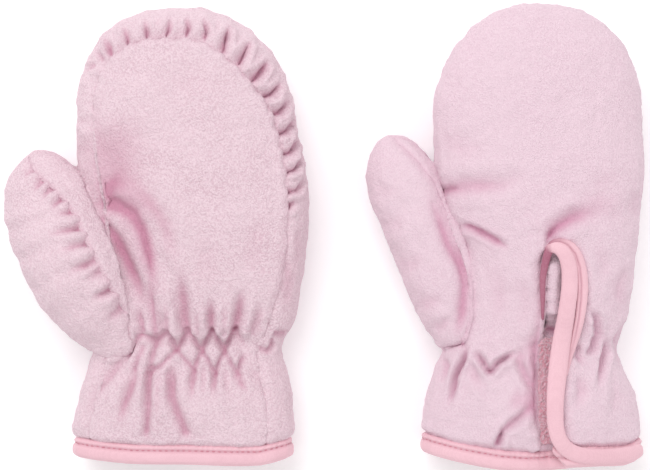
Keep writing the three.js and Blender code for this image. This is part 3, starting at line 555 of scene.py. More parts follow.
# Every piece carries how much painted shade each point gets in folds, seams and grooves, which its material
# mixes into its colour.
def finishPiece(piece, material, node, folds=None):
    mark = piece.data.attributes.new("fold", "FLOAT", "POINT")
    mark.data.foreach_set("value", np.zeros(len(piece.data.vertices)) if folds is None else folds)
    piece.data.materials.append(material)
    selectOnly(piece)
    bpy.ops.object.shade_smooth()
    if node:
        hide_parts(node)
    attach(piece, "root")


# How the wall moves at its seams: it sinks beside a seam, rolls up next to it and closes on its neighbour.
def seamMove(points, normals, outward, outer, neighbours, seam):
    gap, toward = gapTo(points, treeOf(neighbours), seam["search"])
    joined = eased(*seam["endsFacing"], np.einsum("ij,ij->i", normals, toward)) * (gap < seam["joinWithin"])
    down = outward - np.einsum("ij,ij->i", outward, toward)[:, None] * toward
    plain = 1 - eased(*seam["fades"], points[:, 1])
    plain *= 1 - seam["calm"] * (1 - eased(*seam["calmSide"], points[:, 0]))
    sunk = seam["depth"] * plain * np.exp(-((gap / seam["reach"]) ** 2))
    roll = seam["roll"] * np.exp(-(((gap - seam["rollAt"] * seam["reach"]) / seam["reach"]) ** 2))
    move = -(sunk * outer)[:, None] * down + (roll * outer)[:, None] * outward
    move += (joined * (gap / 2 + seam["overlap"]))[:, None] * toward
    # painted shade in the valley beside the seam
    shadeTint = seam["shadeTint"] * plain * np.exp(-((gap / seam["shadeReach"]) ** 2)) * outer
    return move, shadeTint


# One fleece piece on its CAD solid: even faces, edges turned into the seams, folds and the pile's lumps.
def fleecePiece(node, name, given):
    values = {**fleeceValues, **given}
    side = node.split("_")[0]
    piece = copyOf(node, name)
    remeshed(piece, values["voxel"])
    softened(piece, values["soft"])
    points, edges, normals = pointsOf(piece), edgesOf(piece), normalsOf(piece)
    outward = averaged(normals, edges, 4)
    outward /= np.maximum(np.linalg.norm(outward, axis=1), 1e-9)[:, None]
    facing = facingOut(points, outward, values["axis"])
    outer = eased(*values["outer"], facing)
    neighbours = [n for n in nodesOf[side] if n != node]
    # folds: the painted shade along the seams, to which the folds' painted shade is added below
    move, folds = seamMove(points, normals, outward, outer, neighbours, {**seamValues, **values["seam"]})
    way = np.where(facing > 0, 1, -1)[:, None] * outward
    both = outer + values["innerShare"] * eased(*values["outer"], -facing)
    points = points + (drawnIn(points) if side == "left" else 0)
    points = points + (slitClosed(points) if node == "right_back" else 0)
    for rows, up in ((values["folds"], 1), (values["hiddenFolds"], -1)):
        depth, swell, shadeTint = foldDepth(points, rows)
        shown = eased(*values["shown"], up * way[:, 2])
        move += ((swell - depth) * shown * both)[:, None] * way
        # painted shade of the folds on the shown side
        folds += shadeTint * shown * outer
    putPoints(piece, onTable(points + averaged(move, edges, 1)))
    for lumps, size in lumpSizes.items():
        lumped(piece, size, values[lumps])
    putPoints(piece, onTable(pointsOf(piece)))
    finishPiece(piece, brushedFleece if side == "right" else fleece, node,
                np.clip(folds, 0, values["deepestTint"]))
    print(name, "has", len(piece.data.polygons), "faces")
    return piece


# the left mitten, palm up

leftHandAxis = [(-41, -80, 12), (-41, -20, 12), (-40, 32, 12)]
leftThumbAxis = [
    (-58.3, -40, 11), (-61.5, -31, 12.5), (-66.9, -22.6, 15), (-72.5, -13.3, 16.8), (-77.5, -3.7, 16.6),
    (-81, 5, 15), (-83.5, 12.8, 13.2), (-85.6, 22, 10.5),
]

# troughs between the gathers, from the seam outwards
overTips = {"lip": 0.5, "shadeTint": 0.8, "taper": 0.7, "ends": (0.35, 0.6)}
aroundSide = {"lip": 0.5, "shadeTint": 0.8, "taper": 0.55, "ends": (0.05, 0.4)}
alongSide = {"lip": 0.5, "shadeTint": 0.8, "taper": 0.55, "ends": (0.05, 0.36)}
leftGathers = [
    fold([(95, 64), (89, 68), (84, 72)], 0.8, 1.1, 0.45, taper=0.6, ends=(0.05, 0.6)),
    fold([(104, 60), (99, 53), (96, 48)], 0.8, 1.1, 0.45, taper=0.6, ends=(0.05, 0.6)),
    fold([(112, 60), (109, 47), (103, 34)], 1.0, 2.3, **overTips),
    fold([(129, 49), (127, 36), (122, 24)], 1.1, 2.6, **overTips),
    fold([(147, 43), (147, 30), (144, 17)], 1.1, 2.7, **overTips),
    fold([(164, 40), (169, 29), (171, 15)], 1.0, 2.6, **overTips),
    fold([(184, 39), (189, 28), (186, 13)], 1.1, 2.6, **overTips),
    fold([(202, 43), (207, 31), (203, 15)], 1.0, 2.7, **overTips),
    fold([(222, 53), (225, 42), (230, 24)], 1.2, 2.9, **aroundSide),
    fold([(236, 67), (243, 56), (252, 38)], 1.2, 2.9, **aroundSide),
    fold([(249, 82), (260, 74), (272, 57)], 1.2, 3.0, **aroundSide),
    fold([(260, 98), (273, 94), (284, 79)], 1.1, 2.9, 0.5, 0.8, taper=0.55, ends=(0.05, 0.38)),
    fold([(270, 115), (281, 112), (291, 98)], 1.1, 2.8, **alongSide),
    fold([(276, 134), (287, 132), (297, 118)], 1.0, 2.8, **alongSide),
    fold([(280, 154), (291, 153), (301, 137)], 1.0, 2.7, **alongSide),
    fold([(283, 173), (295, 170), (304, 156)], 0.9, 2.5, **alongSide),
    fold([(285, 192), (297, 191), (307, 178)], 0.9, 2.2, 0.45, taper=0.55, ends=(0.05, 0.36)),
    fold([(286, 208), (293, 203), (298, 205)], 1.2, 1.6, 0.4, taper=0.5, ends=(0.1, 0.5)),
]

# the gathers down the side are deepest beside the seam
sideGathers = leftGathers[8:]
leftGathers += [fold(row["line"][:2], 0.75, 1.3, shadeTint=0.8, ends=(0.02, 0.9)) for row in sideGathers]

leftWrist = [
    # troughs that open out above the elastic
    fold([(178, 262), (181, 288), (184, 318), (188, 334)], 1.7, 2.3, 0.35, ends=(0.6, 0.05)),
    fold([(210, 296), (211, 316), (212, 334)], 1.3, 2.0, 0.4, ends=(0.6, 0.05)),
    fold([(243, 286), (239, 310), (234, 333)], 1.5, 2.1, 0.4, ends=(0.5, 0.05)),
    fold([(138, 304), (141, 320), (143, 333)], 1.0, 1.5, ends=(0.5, 0.1)),
    fold([(147, 272), (150, 300), (154, 322), (157, 342)], 1.4, 1.7, ends=(0.5, 0.1)),
    fold([(165, 300), (166, 318), (167, 334)], 1.0, 1.2, ends=(0.6, 0.1)),
    fold([(157, 300), (160, 318), (163, 336)], 0.8, 1.2, 0.4, 0.3, ends=(0.5, 0.1)),
    fold([(195, 306), (197, 322), (198, 338)], 0.8, 1.1, 0.4, 0.3, ends=(0.5, 0.1)),
    fold([(225, 300), (224, 318), (223, 336)], 0.8, 1.1, 0.4, 0.3, ends=(0.5, 0.1)),
    fold([(260, 300), (257, 318), (252, 338)], 1.0, 1.2, 0.4, 0.3, ends=(0.5, 0.2)),
    # where the two rows of elastic catch the pleats, one behind the other
    fold([(141, 333), (156, 343), (167, 334), (177, 349), (188, 334), (201, 349), (212, 333), (224, 349),
        (235, 332), (245, 346)], 0.85, 2.0, 0.35, 0.5, ends=(0.05, 0.1)),
    fold([(177, 349), (185, 360), (194, 370), (201, 350)], 0.75, 1.5, ends=(0.05, 0.1)),
    fold([(201, 349), (208, 361), (215, 373), (224, 350)], 0.75, 1.6, ends=(0.05, 0.1)),
    fold([(224, 349), (230, 362), (237, 374), (245, 352)], 0.75, 1.5, ends=(0.05, 0.2)),
    fold([(177, 349), (170, 357), (160, 366), (150, 371)], 0.8, 1.4, ends=(0.1, 0.1)),
    fold([(156, 343), (152, 356), (150, 371)], 0.8, 1.3, ends=(0.1, 0.1)),
    fold([(143, 333), (134, 347), (126, 361)], 1.0, 1.7, ends=(0.1, 0.3)),
    fold([(146, 342), (138, 357), (133, 373)], 0.9, 1.3, ends=(0.2, 0.1)),
    # troughs that open out below the elastic
    fold([(150, 370), (148, 386), (148, 410), (146, 437)], 1.1, 2.1, 0.35, ends=(0.05, 0.08)),
    fold([(172, 362), (171, 382), (171, 396), (177, 412), (188, 438)], 1.6, 2.3, ends=(0.3, 0.08)),
    fold([(194, 370), (192, 384), (191, 402)], 1.1, 1.5, taper=0.4, ends=(0.05, 0.7)),
    fold([(215, 373), (214, 384), (213, 398)], 1.0, 1.3, taper=0.4, ends=(0.05, 0.7)),
    fold([(237, 374), (240, 382), (248, 392)], 1.2, 1.6, taper=0.4, ends=(0.05, 0.6)),
    fold([(137, 366), (131, 386), (124, 406), (117, 430)], 1.2, 1.6, 0.4, ends=(0.3, 0.5)),
    fold([(132, 353), (112, 372), (95, 396), (82, 422)], 1.5, 1.4, 0.4, 0.35, ends=(0.2, 0.6)),
    fold([(204, 360), (203, 380), (201, 400)], 0.9, 1.0, shadeTint=0.3, ends=(0.3, 0.6)),
    fold([(224, 366), (226, 384), (230, 402)], 0.9, 1.0, shadeTint=0.3, ends=(0.3, 0.6)),
    fold([(159, 366), (158, 384), (157, 410), (160, 432)], 1.0, 1.1, 0.4, 0.25, ends=(0.2, 0.5)),
    fold([(252, 366), (262, 384), (270, 404)], 1.4, 1.0, 0.4, 0.2, ends=(0.3, 0.6)),
    # a small puff at the outer end of the elastic
    fold([(255, 343), (262, 349), (268, 351), (272, 346), (272, 337)], 0.75, 1.4, 0.4, ends=(0.1, 0.1)),
    fold([(272, 332), (280, 335), (292, 334)], 1.1, 1.5, ends=(0.2, 0.3)),
]

leftPalmFolds = [
    # painted shade towards the thumb, where the palm hollows
    fold([(114, 104), (124, 150), (128, 190)], 7.0, broadShade=0.16, ends=(0.4, 0.3)),
    fold([(104, 182), (120, 190), (138, 206), (150, 232)], 4.2, broadShade=0.42, ends=(0.1, 0.6)),
    fold([(106, 206), (122, 210), (136, 224), (146, 250), (150, 284)], 2.2, broadShade=0.4, ends=(0.05, 0.4)),
    fold([(112, 226), (126, 250), (138, 280)], 2.6, broadShade=0.3, ends=(0.2, 0.4)),
    # the hollow at the root of the thumb
    fold([(99, 203), (116, 205), (133, 214), (144, 234), (150, 257), (154, 285), (157, 308)], 2.2, 2.4,
        0.25, 0.8, ends=(0.03, 0.5)),
    fold([(99, 213), (112, 232), (126, 259), (138, 287), (147, 314)], 1.7, 1.7, 0.1, 0.7,
        ends=(0.1, 0.4)),
    fold([(127, 172), (147, 198), (163, 222), (172, 250), (176, 275)], 2.4, 1.1, 0.35, 0.5,
        ends=(0.4, 0.5)),
    fold([(102, 118), (106, 160), (113, 198)], 8.5, 1.7, 0, 0.3, ends=(0.5, 0.2)),
    fold([(98, 178), (104, 188), (106, 204)], 3.0, 1.3, 0, 0.6, ends=(0.4, 0.1)),
    # soft unevenness of the palm
    fold([(196, 225), (205, 258), (209, 292)], 3.5, 0.55, shadeTint=0.25, ends=(0.5, 0.4)),
    fold([(262, 205), (256, 240), (250, 280)], 3.4, 0.6, shadeTint=0.25, ends=(0.5, 0.4)),
    fold([(150, 66), (185, 84), (232, 82)], 4.5, 0.4, shadeTint=0.2, ends=(0.5, 0.5)),
    fold([(97, 90), (97, 130), (100, 168)], 1.6, 0.5, shadeTint=0.3, ends=(0.4, 0.4)),
    fold([(77, 118), (83, 122), (92, 121)], 1.6, 0.6, shadeTint=0.2),
    fold([(76, 146), (82, 150), (92, 148)], 1.6, 0.7, shadeTint=0.2),
    # down the outer side of the hand
    fold([(284, 246), (290, 278), (285, 314)], 2.4, 1.1, shadeTint=0.4, ends=(0.5, 0.4)),
    fold([(298, 228), (300, 250), (296, 272)], 1.8, 0.8, shadeTint=0.3),
]

leftThumbFolds = [
    fold([(42, 179), (38, 185), (33, 193)], 1.0, 1.4, ends=(0.1, 0.6)),
    fold([(63, 196), (56, 203), (52, 212)], 1.1, 1.6, ends=(0.1, 0.6)),
    fold([(76, 209), (66, 213), (55, 214)], 1.1, 1.5, ends=(0.1, 0.6)),
    fold([(84, 227), (68, 230), (46, 234)], 1.1, 1.9, 0.4, ends=(0.1, 0.7)),
    fold([(91, 243), (76, 246), (56, 252)], 1.1, 1.4, 0.4, ends=(0.1, 0.7)),
    fold([(97, 259), (84, 266), (66, 272)], 1.1, 1.9, 0.4, ends=(0.2, 0.7)),
    fold([(118, 285), (106, 293), (90, 299)], 1.1, 2.0, 0.4, ends=(0.2, 0.5)),
    fold([(112, 262), (98, 272), (84, 282)], 1.5, 1.1, ends=(0.4, 0.5)),
    fold([(52, 186), (46, 193), (42, 202)], 1.0, 1.1, ends=(0.1, 0.6)),
    fold([(33, 168), (28, 172), (22, 180)], 1.0, 0.8, ends=(0.1, 0.6)),
    fold([(128, 300), (118, 312), (104, 322)], 1.6, 1.2, ends=(0.4, 0.5)),
]

leftUnderFolds = [
    fold([(150, 330), (151, 352), (148, 372)], 1.4, 1.2),
    fold([(176, 326), (175, 350), (178, 380)], 1.5, 1.3),
    fold([(121, 338), (126, 356), (122, 382)], 1.4, 1.1),
    fold([(238, 330), (236, 352), (240, 378)], 1.5, 1.3),
    fold([(262, 334), (259, 352), (264, 374)], 1.4, 1.1),
    fold([(110, 120), (140, 150), (150, 190)], 3.0, 0.9),
    fold([(230, 110), (216, 160), (222, 215)], 3.2, 0.9),
    fold([(180, 70), (200, 84), (232, 88)], 2.6, 0.7),
    fold([(128, 250), (150, 262), (168, 290)], 2.6, 1.0),
]

leftPalm = fleecePiece("left_palm", "leftPalmFleece", {
    "axis": leftHandAxis, "folds": leftWrist + leftPalmFolds,
    "seam": {"depth": 0.3, "reach": 0.8, "roll": 0.3, "shadeTint": 0.12, "fades": (-18, -30), "calm": 0.9},
})
leftBack = fleecePiece("left_back", "leftBackFleece", {
    "axis": leftHandAxis, "folds": leftGathers + leftWrist + leftPalmFolds, "hiddenFolds": leftUnderFolds,
    "seam": {"depth": 0.9, "reach": 1.4, "roll": 0.3, "shadeTint": 0.2, "fades": (-12, -28), "calm": 0.9},
})
leftThumbInner = fleecePiece("left_thumb_inner", "leftThumbInnerFleece", {
    "axis": leftThumbAxis, "seam": {"depth": 0.3, "reach": 0.8, "roll": 0.3},
})
leftThumbOuter = fleecePiece("left_thumb_outer", "leftThumbOuterFleece", {
    "axis": leftThumbAxis, "folds": leftThumbFolds, "seam": {"depth": 0.9, "reach": 1.1, "roll": 0.25},
})
leftUnderlap = fleecePiece("left_underlap", "leftUnderlapFleece", {
    "axis": leftHandAxis, "lumps": 0.0003, "seam": {"depth": 0.1, "reach": 0.6, "roll": 0.0},
})
print("the left mitten's fleece is done")


# the right mitten, back up

rightHandAxis = [(63, -80, 12), (65, -20, 12), (64, 32, 13)]
rightThumbAxis = [
    (48.7, -37, 9), (42.9, -29, 10), (38.3, -18.4, 10.6), (34, -6.7, 10.8), (29.8, 2.9, 10.6),
    (25.5, 11.9, 10.2), (22.9, 17.9, 9.8), (19.7, 30, 9),
]

rightBackFolds = [
    # the heel of the hand turns over the root of the thumb
    fold([(444, 219), (456, 246), (470, 262), (474, 284), (471, 312), (466, 338)], 1.9, -1.3, 0, 0,
        ends=(0.3, 0.3)),
    fold([(438, 190), (452, 189), (467, 186), (503, 185), (534, 170)], 2.3, 1.15, shadeTint=0.4, taper=0.2,
        ends=(0.1, 0.6)),
    fold([(437, 192), (447, 190), (460, 189)], 0.9, 0.8, shadeTint=0.5, ends=(0.1, 0.5)),
    fold([(437, 132), (462, 150), (492, 152)], 3.6, 0.7, shadeTint=0.25, ends=(0.4, 0.5)),
    fold([(458, 224), (472, 228), (490, 237), (511, 250)], 0.9, 1.6, 0.5, 0.7, ends=(0.2, 0.35)),
    fold([(547, 241), (555, 229), (572, 218), (600, 208)], 2.1, 2.0, 0.4, taper=0.2, ends=(0.1, 0.6)),
    fold([(546, 243), (551, 233), (562, 223)], 0.8, 1.2, shadeTint=0.7, ends=(0.05, 0.6)),
    fold([(622, 172), (606, 181), (584, 184)], 3.0, 0.6, shadeTint=0.2, ends=(0.5, 0.5)),
    fold([(640, 190), (634, 204), (640, 220)], 2.2, 0.7, shadeTint=0.3),
    # puckers over the elastic of the wrist
    fold([(474, 350), (482, 361), (490, 373)], 0.85, 2.9, 0.5, 0.5, ends=(0.4, 0.05)),
    fold([(490, 373), (498, 363), (508, 357), (520, 351)], 0.85, 2.9, 0.5, 0.5, ends=(0.05, 0.5)),
    fold([(484, 336), (497, 346), (511, 342)], 4.0, -1.3, 0, ends=(0.4, 0.4)),
    fold([(467, 342), (464, 358), (456, 376), (453, 392), (446, 408)], 0.8, 2.8, 0.5),
    fold([(441, 338), (452, 343), (466, 345)], 1.0, 1.6, shadeTint=0.5, ends=(0.3, 0.1)),
    fold([(441, 352), (446, 366), (440, 384)], 1.1, 1.5, 0.4, 0.3, ends=(0.4, 0.5)),
    fold([(466, 384), (478, 396), (492, 402)], 4.5, -1.1, 0, ends=(0.4, 0.4)),
    fold([(470, 358), (474, 376), (486, 392), (496, 404)], 1.1, 1.3, 0.4, 0.25, ends=(0.4, 0.5)),
    fold([(534, 404), (518, 419), (503, 431), (497, 448)], 1.0, 2.0, 0.5, 0.4, ends=(0.4, 0.08)),
    fold([(503, 430), (499, 438), (496, 448)], 0.5, 1.4, shadeTint=0.6, ends=(0.4, 0.1)),
    # painted shade in the hollow below the puckers
    fold([(508, 396), (522, 402), (534, 410)], 3.0, broadShade=0.3, ends=(0.3, 0.2)),
    fold([(525, 344), (519, 360), (526, 380), (535, 392)], 1.2, 1.9, 0.5, 0.35, ends=(0.4, 0.4)),
    fold([(521, 424), (530, 432), (536, 440)], 3.2, -1.0, 0, ends=(0.3, 0.3)),
    # painted shade beside the slit's lower edge
    fold([(533, 330), (534, 370), (534, 428)], 2.3, broadShade=0.45, ends=(0.2, 0.2)),
    fold([(588, 308), (597, 318), (598, 334), (592, 350), (582, 355)], 0.85, 2.2, 0.5, 0.45,
        ends=(0.3, 0.3)),
    fold([(602, 330), (605, 348), (602, 370), (598, 394)], 0.9, 2.2, 0.5, 0.4, ends=(0.4, 0.5)),
    fold([(578, 340), (577, 356), (586, 366)], 0.9, 1.7, 0.5, 0.35, ends=(0.4, 0.4)),
    fold([(634, 323), (624, 330), (617, 342), (620, 366)], 1.3, 1.8, 0.4, 0.35, ends=(0.2, 0.5)),
    fold([(577, 372), (582, 390), (576, 412)], 1.4, 1.3, 0.4, 0.25, ends=(0.4, 0.5)),
    fold([(613, 378), (617, 398), (612, 420)], 1.8, 0.9, 0.4, 0.15, ends=(0.4, 0.5)),
    fold([(486, 252), (499, 290), (497, 332)], 3.6, 0.9, shadeTint=0.2, ends=(0.5, 0.4)),
    fold([(518, 268), (527, 300), (522, 336)], 2.8, 0.9, shadeTint=0.2, ends=(0.5, 0.4)),
    fold([(628, 258), (620, 288), (624, 316)], 2.2, 1.0, shadeTint=0.3, ends=(0.5, 0.4)),
    fold([(592, 238), (604, 262), (602, 290)], 2.6, 0.8, shadeTint=0.2, ends=(0.5, 0.5)),
    # broad painted shade beside the fold over the slit, and beside two folds across the hand
    fold([(548, 236), (566, 220), (600, 205), (630, 214)], 3.6, broadShade=0.22, ends=(0.1, 0.4)),
    fold([(438, 190), (470, 186), (510, 186)], 3.2, broadShade=0.14, ends=(0.1, 0.5)),
    fold([(460, 226), (480, 231), (508, 246)], 2.4, broadShade=0.2, ends=(0.3, 0.3)),
]

slitEdgeRoll = [
    fold([(545, 250), (541.5, 270), (541, 300), (540, 330), (537.5, 360), (537, 400), (538, 440)], 1.8,
        1.5, 0.35, 0.3, ends=(0.05, 0.1)),
]
slitTongue = [
    fold([(552, 250), (552, 285), (552, 322)], 5.0, -1.3, 0, ends=(0.02, 0.05)),
    fold([(554, 258), (555, 285), (554, 316)], 2.6, -2.6, 0, ends=(0.1, 0.1)),
    fold([(545, 330), (556, 331), (566, 329)], 0.9, 1.6, 0.1, ends=(0.1, 0.1)),
    # painted shade in the gap beside the tongue and over the tongue
    fold([(546, 256), (546, 290), (546, 326), (560, 331)], 0.9, broadShade=0.5, ends=(0.05, 0.1)),
    fold([(557, 258), (557, 290), (556, 322)], 3.2, broadShade=0.62, ends=(0.05, 0.1)),
]

rightThumbFolds = [
    fold([(428, 190), (439, 216), (449, 244), (461, 262), (466, 285), (463, 314), (456, 340)], 2.1, 1.9,
        0, 0.7, ends=(0.3, 0.2)),
    fold([(372, 186), (384, 192), (396, 190)], 2.0, 0.5, shadeTint=0.2),
    fold([(378, 222), (392, 226), (408, 220)], 2.2, 0.6, shadeTint=0.2),
    fold([(394, 262), (408, 266), (424, 256)], 2.2, 0.7, shadeTint=0.25),
    fold([(414, 302), (428, 304), (442, 294)], 2.2, 0.8, shadeTint=0.3),
    fold([(432, 330), (442, 326), (450, 316)], 1.6, 0.9, shadeTint=0.3),
]

rightUnderFolds = [
    fold([(500, 326), (503, 352), (499, 392)], 1.5, 1.3),
    fold([(524, 330), (526, 352), (530, 396)], 1.5, 1.4),
    fold([(548, 328), (549, 352), (545, 386)], 1.5, 1.3),
    fold([(572, 332), (573, 352), (579, 390)], 1.5, 1.2),
    fold([(478, 336), (479, 352), (470, 380)], 1.4, 1.0),
    fold([(596, 336), (598, 352), (604, 376)], 1.4, 1.0),
    fold([(480, 150), (500, 200), (494, 250)], 3.2, 0.9),
    fold([(590, 160), (575, 205), (584, 260)], 3.2, 0.9),
]

# The troughs of the gathers on the hidden palm side: a place in plan at the seam, and one at the edge.
rightGatherEnds = [
    ((456, 181), (440, 179)), ((455, 163), (439, 161)), ((453, 144), (437, 142)), ((452, 125), (436, 121)),
    ((454, 105), (436, 97)), ((459, 86), (442, 71)), ((469, 69), (453, 50)), ((482, 54), (471, 29)),
    ((498, 43), (492, 16)), ((517, 38), (517, 7)), ((537, 37), (531, 7)), ((556, 39), (556, 9)),
    ((574, 45), (582, 16)), ((590, 57), (604, 29)), ((603, 71), (621, 49)), ((612, 88), (632, 73)),
    ((618, 107), (638, 97)), ((620, 127), (640, 121)), ((621, 147), (641, 143)), ((622, 166), (641, 162)),
]
rightGathers = [
    fold([start, end], 0.9, 1.2 + 0.4 * math.sin(2.1 * i), ends=(0.05, 0.6))
    for i, (start, end) in enumerate(rightGatherEnds)
]

rightPalm = fleecePiece("right_palm", "rightPalmFleece", {
    "axis": rightHandAxis, "hiddenFolds": rightUnderFolds, "seam": {"depth": 0.6, "reach": 0.9, "roll": 0.0},
})
rightBack = fleecePiece("right_back", "rightBackFleece", {
    "axis": rightHandAxis, "folds": rightBackFolds + slitEdgeRoll, "hiddenFolds": rightGathers,
    "seam": {"depth": 0.8, "reach": 1.0, "roll": 0.15},
})
rightThumbInner = fleecePiece("right_thumb_inner", "rightThumbInnerFleece", {
    "axis": rightThumbAxis, "seam": {"depth": 0.6, "reach": 0.9, "roll": 0.15},
})
rightThumbOuter = fleecePiece("right_thumb_outer", "rightThumbOuterFleece", {
    "axis": rightThumbAxis, "folds": rightThumbFolds, "seam": {"depth": 0.8, "reach": 1.0, "roll": 0.2},
})
rightUnderlap = fleecePiece("right_underlap", "rightUnderlapFleece", {
    "axis": rightHandAxis, "lumps": 0.0004, "folds": slitTongue,
    "seam": {"depth": 0.1, "reach": 0.6, "roll": 0.0},
})
print("the right mitten's fleece is done")


# bindings

def tapePiece(node, name, values, material=tape):
    piece = copyOf(node, name)
    remeshed(piece, values["voxel"])
    softened(piece, values["soft"])
    if "rough" in values:
        lumped(piece, values["roughSize"], values["rough"])
        putPoints(piece, pointsOf(piece) + values["shift"])
    finishPiece(piece, material, node)
    return piece


hemLine = -67
# How far below that line the lower edge of each hem hangs, by the place across
leftHemDrop = [(-73.3, -0.5), (-56.3, 0.8), (-41.3, 0.9), (-19.3, 1.5), (-10.3, -0.2)]
rightHemDrop = [
    (30.7, -1.5), (40.7, 0.6), (51.7, 2.4), (59.7, 3.0), (64.9, 3.0), (79.7, 1.5), (89.7, 1.5), (94.7, 0),
]
hemValues = {
    "voxel": 0.00034, "soft": 3, "groove": 4.15, "grooveDepth": 0.55, "grooveWidth": 0.42, "roll": 0.4,
    "pucker": 0.12, "puckerAt": (3.2, 4.4), "grooveShade": 0.25,
}


# The tape is folded over the edge of the fleece and sewn through in a groove near its upper edge.
def hemPiece(node, name, axis, drop):
    piece = copyOf(node, name)
    remeshed(piece, hemValues["voxel"])
    softened(piece, hemValues["soft"])
    points = pointsOf(piece)
    outward = averaged(normalsOf(piece), edgesOf(piece), 2)
    outer = eased(0.1, 0.4, facingOut(points, outward, axis))
    height = points[:, 1] - hemLine + np.interp(points[:, 0], *np.array(drop).T)
    groove = np.exp(-(((height - hemValues["groove"]) / hemValues["grooveWidth"]) ** 2))
    roll = np.sin(np.pi * np.clip(height / hemValues["groove"], 0, 1))
    wave = np.sin(points[:, 0] * 3.4 + 1.3 * np.sin(points[:, 0] * 0.9))
    pucker = wave * eased(*hemValues["puckerAt"], height)
    swell = hemValues["roll"] * roll - hemValues["grooveDepth"] * groove + hemValues["pucker"] * pucker
    putPoints(piece, onTable(points + (swell * outer)[:, None] * outward))
    # painted shade in the stitch groove, on top of its real depth
    finishPiece(piece, tape, node, hemValues["grooveShade"] * groove * outer)
    return piece


stitchValues = {"pitch": 1.78, "length": 1.0, "thick": 0.34, "height": 4.2, "above": 0.08, "first": 0.6}


# Places and outward ways round the hem's tape, at the height of the stitches
def stitchRoute(hem, axis, drop):
    tree = BVHTree.FromObject(hem, bpy.context.evaluated_depsgraph_get())
    centre = np.array(axis[0][::2], float)
    level = hemLine + stitchValues["height"]
    route, normals = [], []
    for angle in np.linspace(0, 2 * np.pi, 721):
        way = np.array([math.cos(angle), math.sin(angle)])
        start = centre + way * 60
        across = route[-1][0] if route else start[0]
        for _ in range(2):
            y = level - np.interp(across, *np.array(drop).T)
            origin = Vector((start[0], y, start[1])) / 1000
            spot, normal, _, _ = tree.ray_cast(origin, Vector((-way[0], 0, -way[1])))
            if spot is None:
                break
            across = spot.x * 1000
        if spot is not None:
            route.append(np.array(spot) * 1000)
            normals.append(np.array(normal))
    return np.array(route), np.array(normals)


# A row of stitches round the cuff, each a short grain of thread half sunk in the tape, but for the bare part
def stitchRow(hem, name, axis, drop, bare=None):
    route, normals = stitchRoute(hem, axis, drop)
    lengths = np.concatenate([[0], np.cumsum(np.linalg.norm(np.diff(route, axis=0), axis=1))])

    def between(place, rows):
        return np.array([np.interp(place, lengths, rows[:, k]) for k in range(3)])

    selectNothing()
    bpy.ops.mesh.primitive_uv_sphere_add(segments=8, ring_count=6, radius=0.0005)
    stitch = bpy.context.active_object
    stitch.name = name
    thick, length = stitchValues["thick"], stitchValues["length"]
    grain = pointsOf(stitch) * np.array([thick, thick, length])
    grainFaces = [list(polygon.vertices) for polygon in stitch.data.polygons]
    corners, faces = [], []
    for place in np.arange(stitchValues["first"], lengths[-1], stitchValues["pitch"]):
        here, ahead, up = between(place, route), between(place + 0.5, route), between(place, normals)
        isBare = bare and here[0] > bare["beyond"] and here[2] > bare["above"]
        if isBare or np.linalg.norm(ahead - here) < 0.1:
            continue
        along = (ahead - here) / np.linalg.norm(ahead - here)
        up /= max(np.linalg.norm(up), 1e-6)
        side = np.cross(up, along)
        start = len(corners) * len(grain)
        points = here + up * stitchValues["above"] + grain[:, [2]] * along
        points += grain[:, [1]] * side + grain[:, [0]] * np.cross(along, side)
        corners.append(onTable(points))
        faces += [[start + k for k in face] for face in grainFaces]
    stitch.data.clear_geometry()
    stitch.data.from_pydata((np.concatenate(corners) / 1000).tolist(), [], faces)
    stitch.data.update()
    finishPiece(stitch, thread, None)
    return stitch


# Heights in millimetres: well above the mittens, and about their top
heights = {"above": 60, "top": 28, "firstGuess": 24}


def spotBelow(tree, x, y):
    return tree.ray_cast(Vector((x, y, heights["above"])), Vector((0, 0, -1)))[0]


# The middle line of a band that lies on cloth, and its width there, on smooth curves through the rows
def bandRoute(rows, tree, values):
    route = []
    for px, py, _, _ in rows:
        height = heights["firstGuess"]
        for _ in range(4):
            x, y = plan(px, py, height)
            spot = spotBelow(tree, x, y)
            height = spot.z if spot else height
        route.append((x, y))
    route = np.array(route)
    steps = np.concatenate([[0], np.cumsum(np.hypot(*np.diff(route, axis=0).T))])
    places = np.linspace(0, steps[-1], int(steps[-1] / values["step"]))
    columns = (route[:, 0], route[:, 1], [row[2] for row in rows], [row[3] for row in rows])
    x, y, width, lift = [cubicThrough(steps, column, places) for column in columns]
    z = []
    for a, b in zip(x, y):
        spot = spotBelow(tree, a, b)
        if spot is None:
            spot = tree.find_nearest(Vector((a, b, heights["top"])))[0]
        z.append(spot.z)
    z = np.array(z)
    for _ in range(values["even"]):
        z[1:-1] = (z[:-2] + z[1:-1] + z[2:]) / 3
    return np.stack([x, y, z + lift], axis=1), width


# A tube of rounded section along the middle line, closed at both ends
def bandMesh(name, centre, width, values):
    along = np.gradient(centre, axis=0)
    along /= np.linalg.norm(along, axis=1)[:, None]
    right = np.cross(along, [0, 0, 1])
    right /= np.linalg.norm(right, axis=1)[:, None]
    up = np.cross(right, along)
    count = values["sides"]
    around = np.linspace(0, 2 * np.pi, count, endpoint=False)
    across = np.sign(np.cos(around)) * np.abs(np.cos(around)) ** 0.75
    high = np.sin(around) * np.where(np.sin(around) > 0, values["crown"], values["deep"])
    corners, faces = [], []
    for i in range(len(centre)):
        corners.append(centre[i] + (across * width[i] / 2)[:, None] * right[i] + high[:, None] * up[i])
    for i in range(len(centre) - 1):
        for k in range(count):
            n = (k + 1) % count
            faces.append([i * count + k, i * count + n, (i + 1) * count + n, (i + 1) * count + k])
    faces.append(list(range(count))[::-1])
    faces.append([(len(centre) - 1) * count + k for k in range(count)])
    mesh = bpy.data.meshes.new(name)
    mesh.from_pydata((np.concatenate(corners) / 1000).tolist(), [], faces)
    return mesh


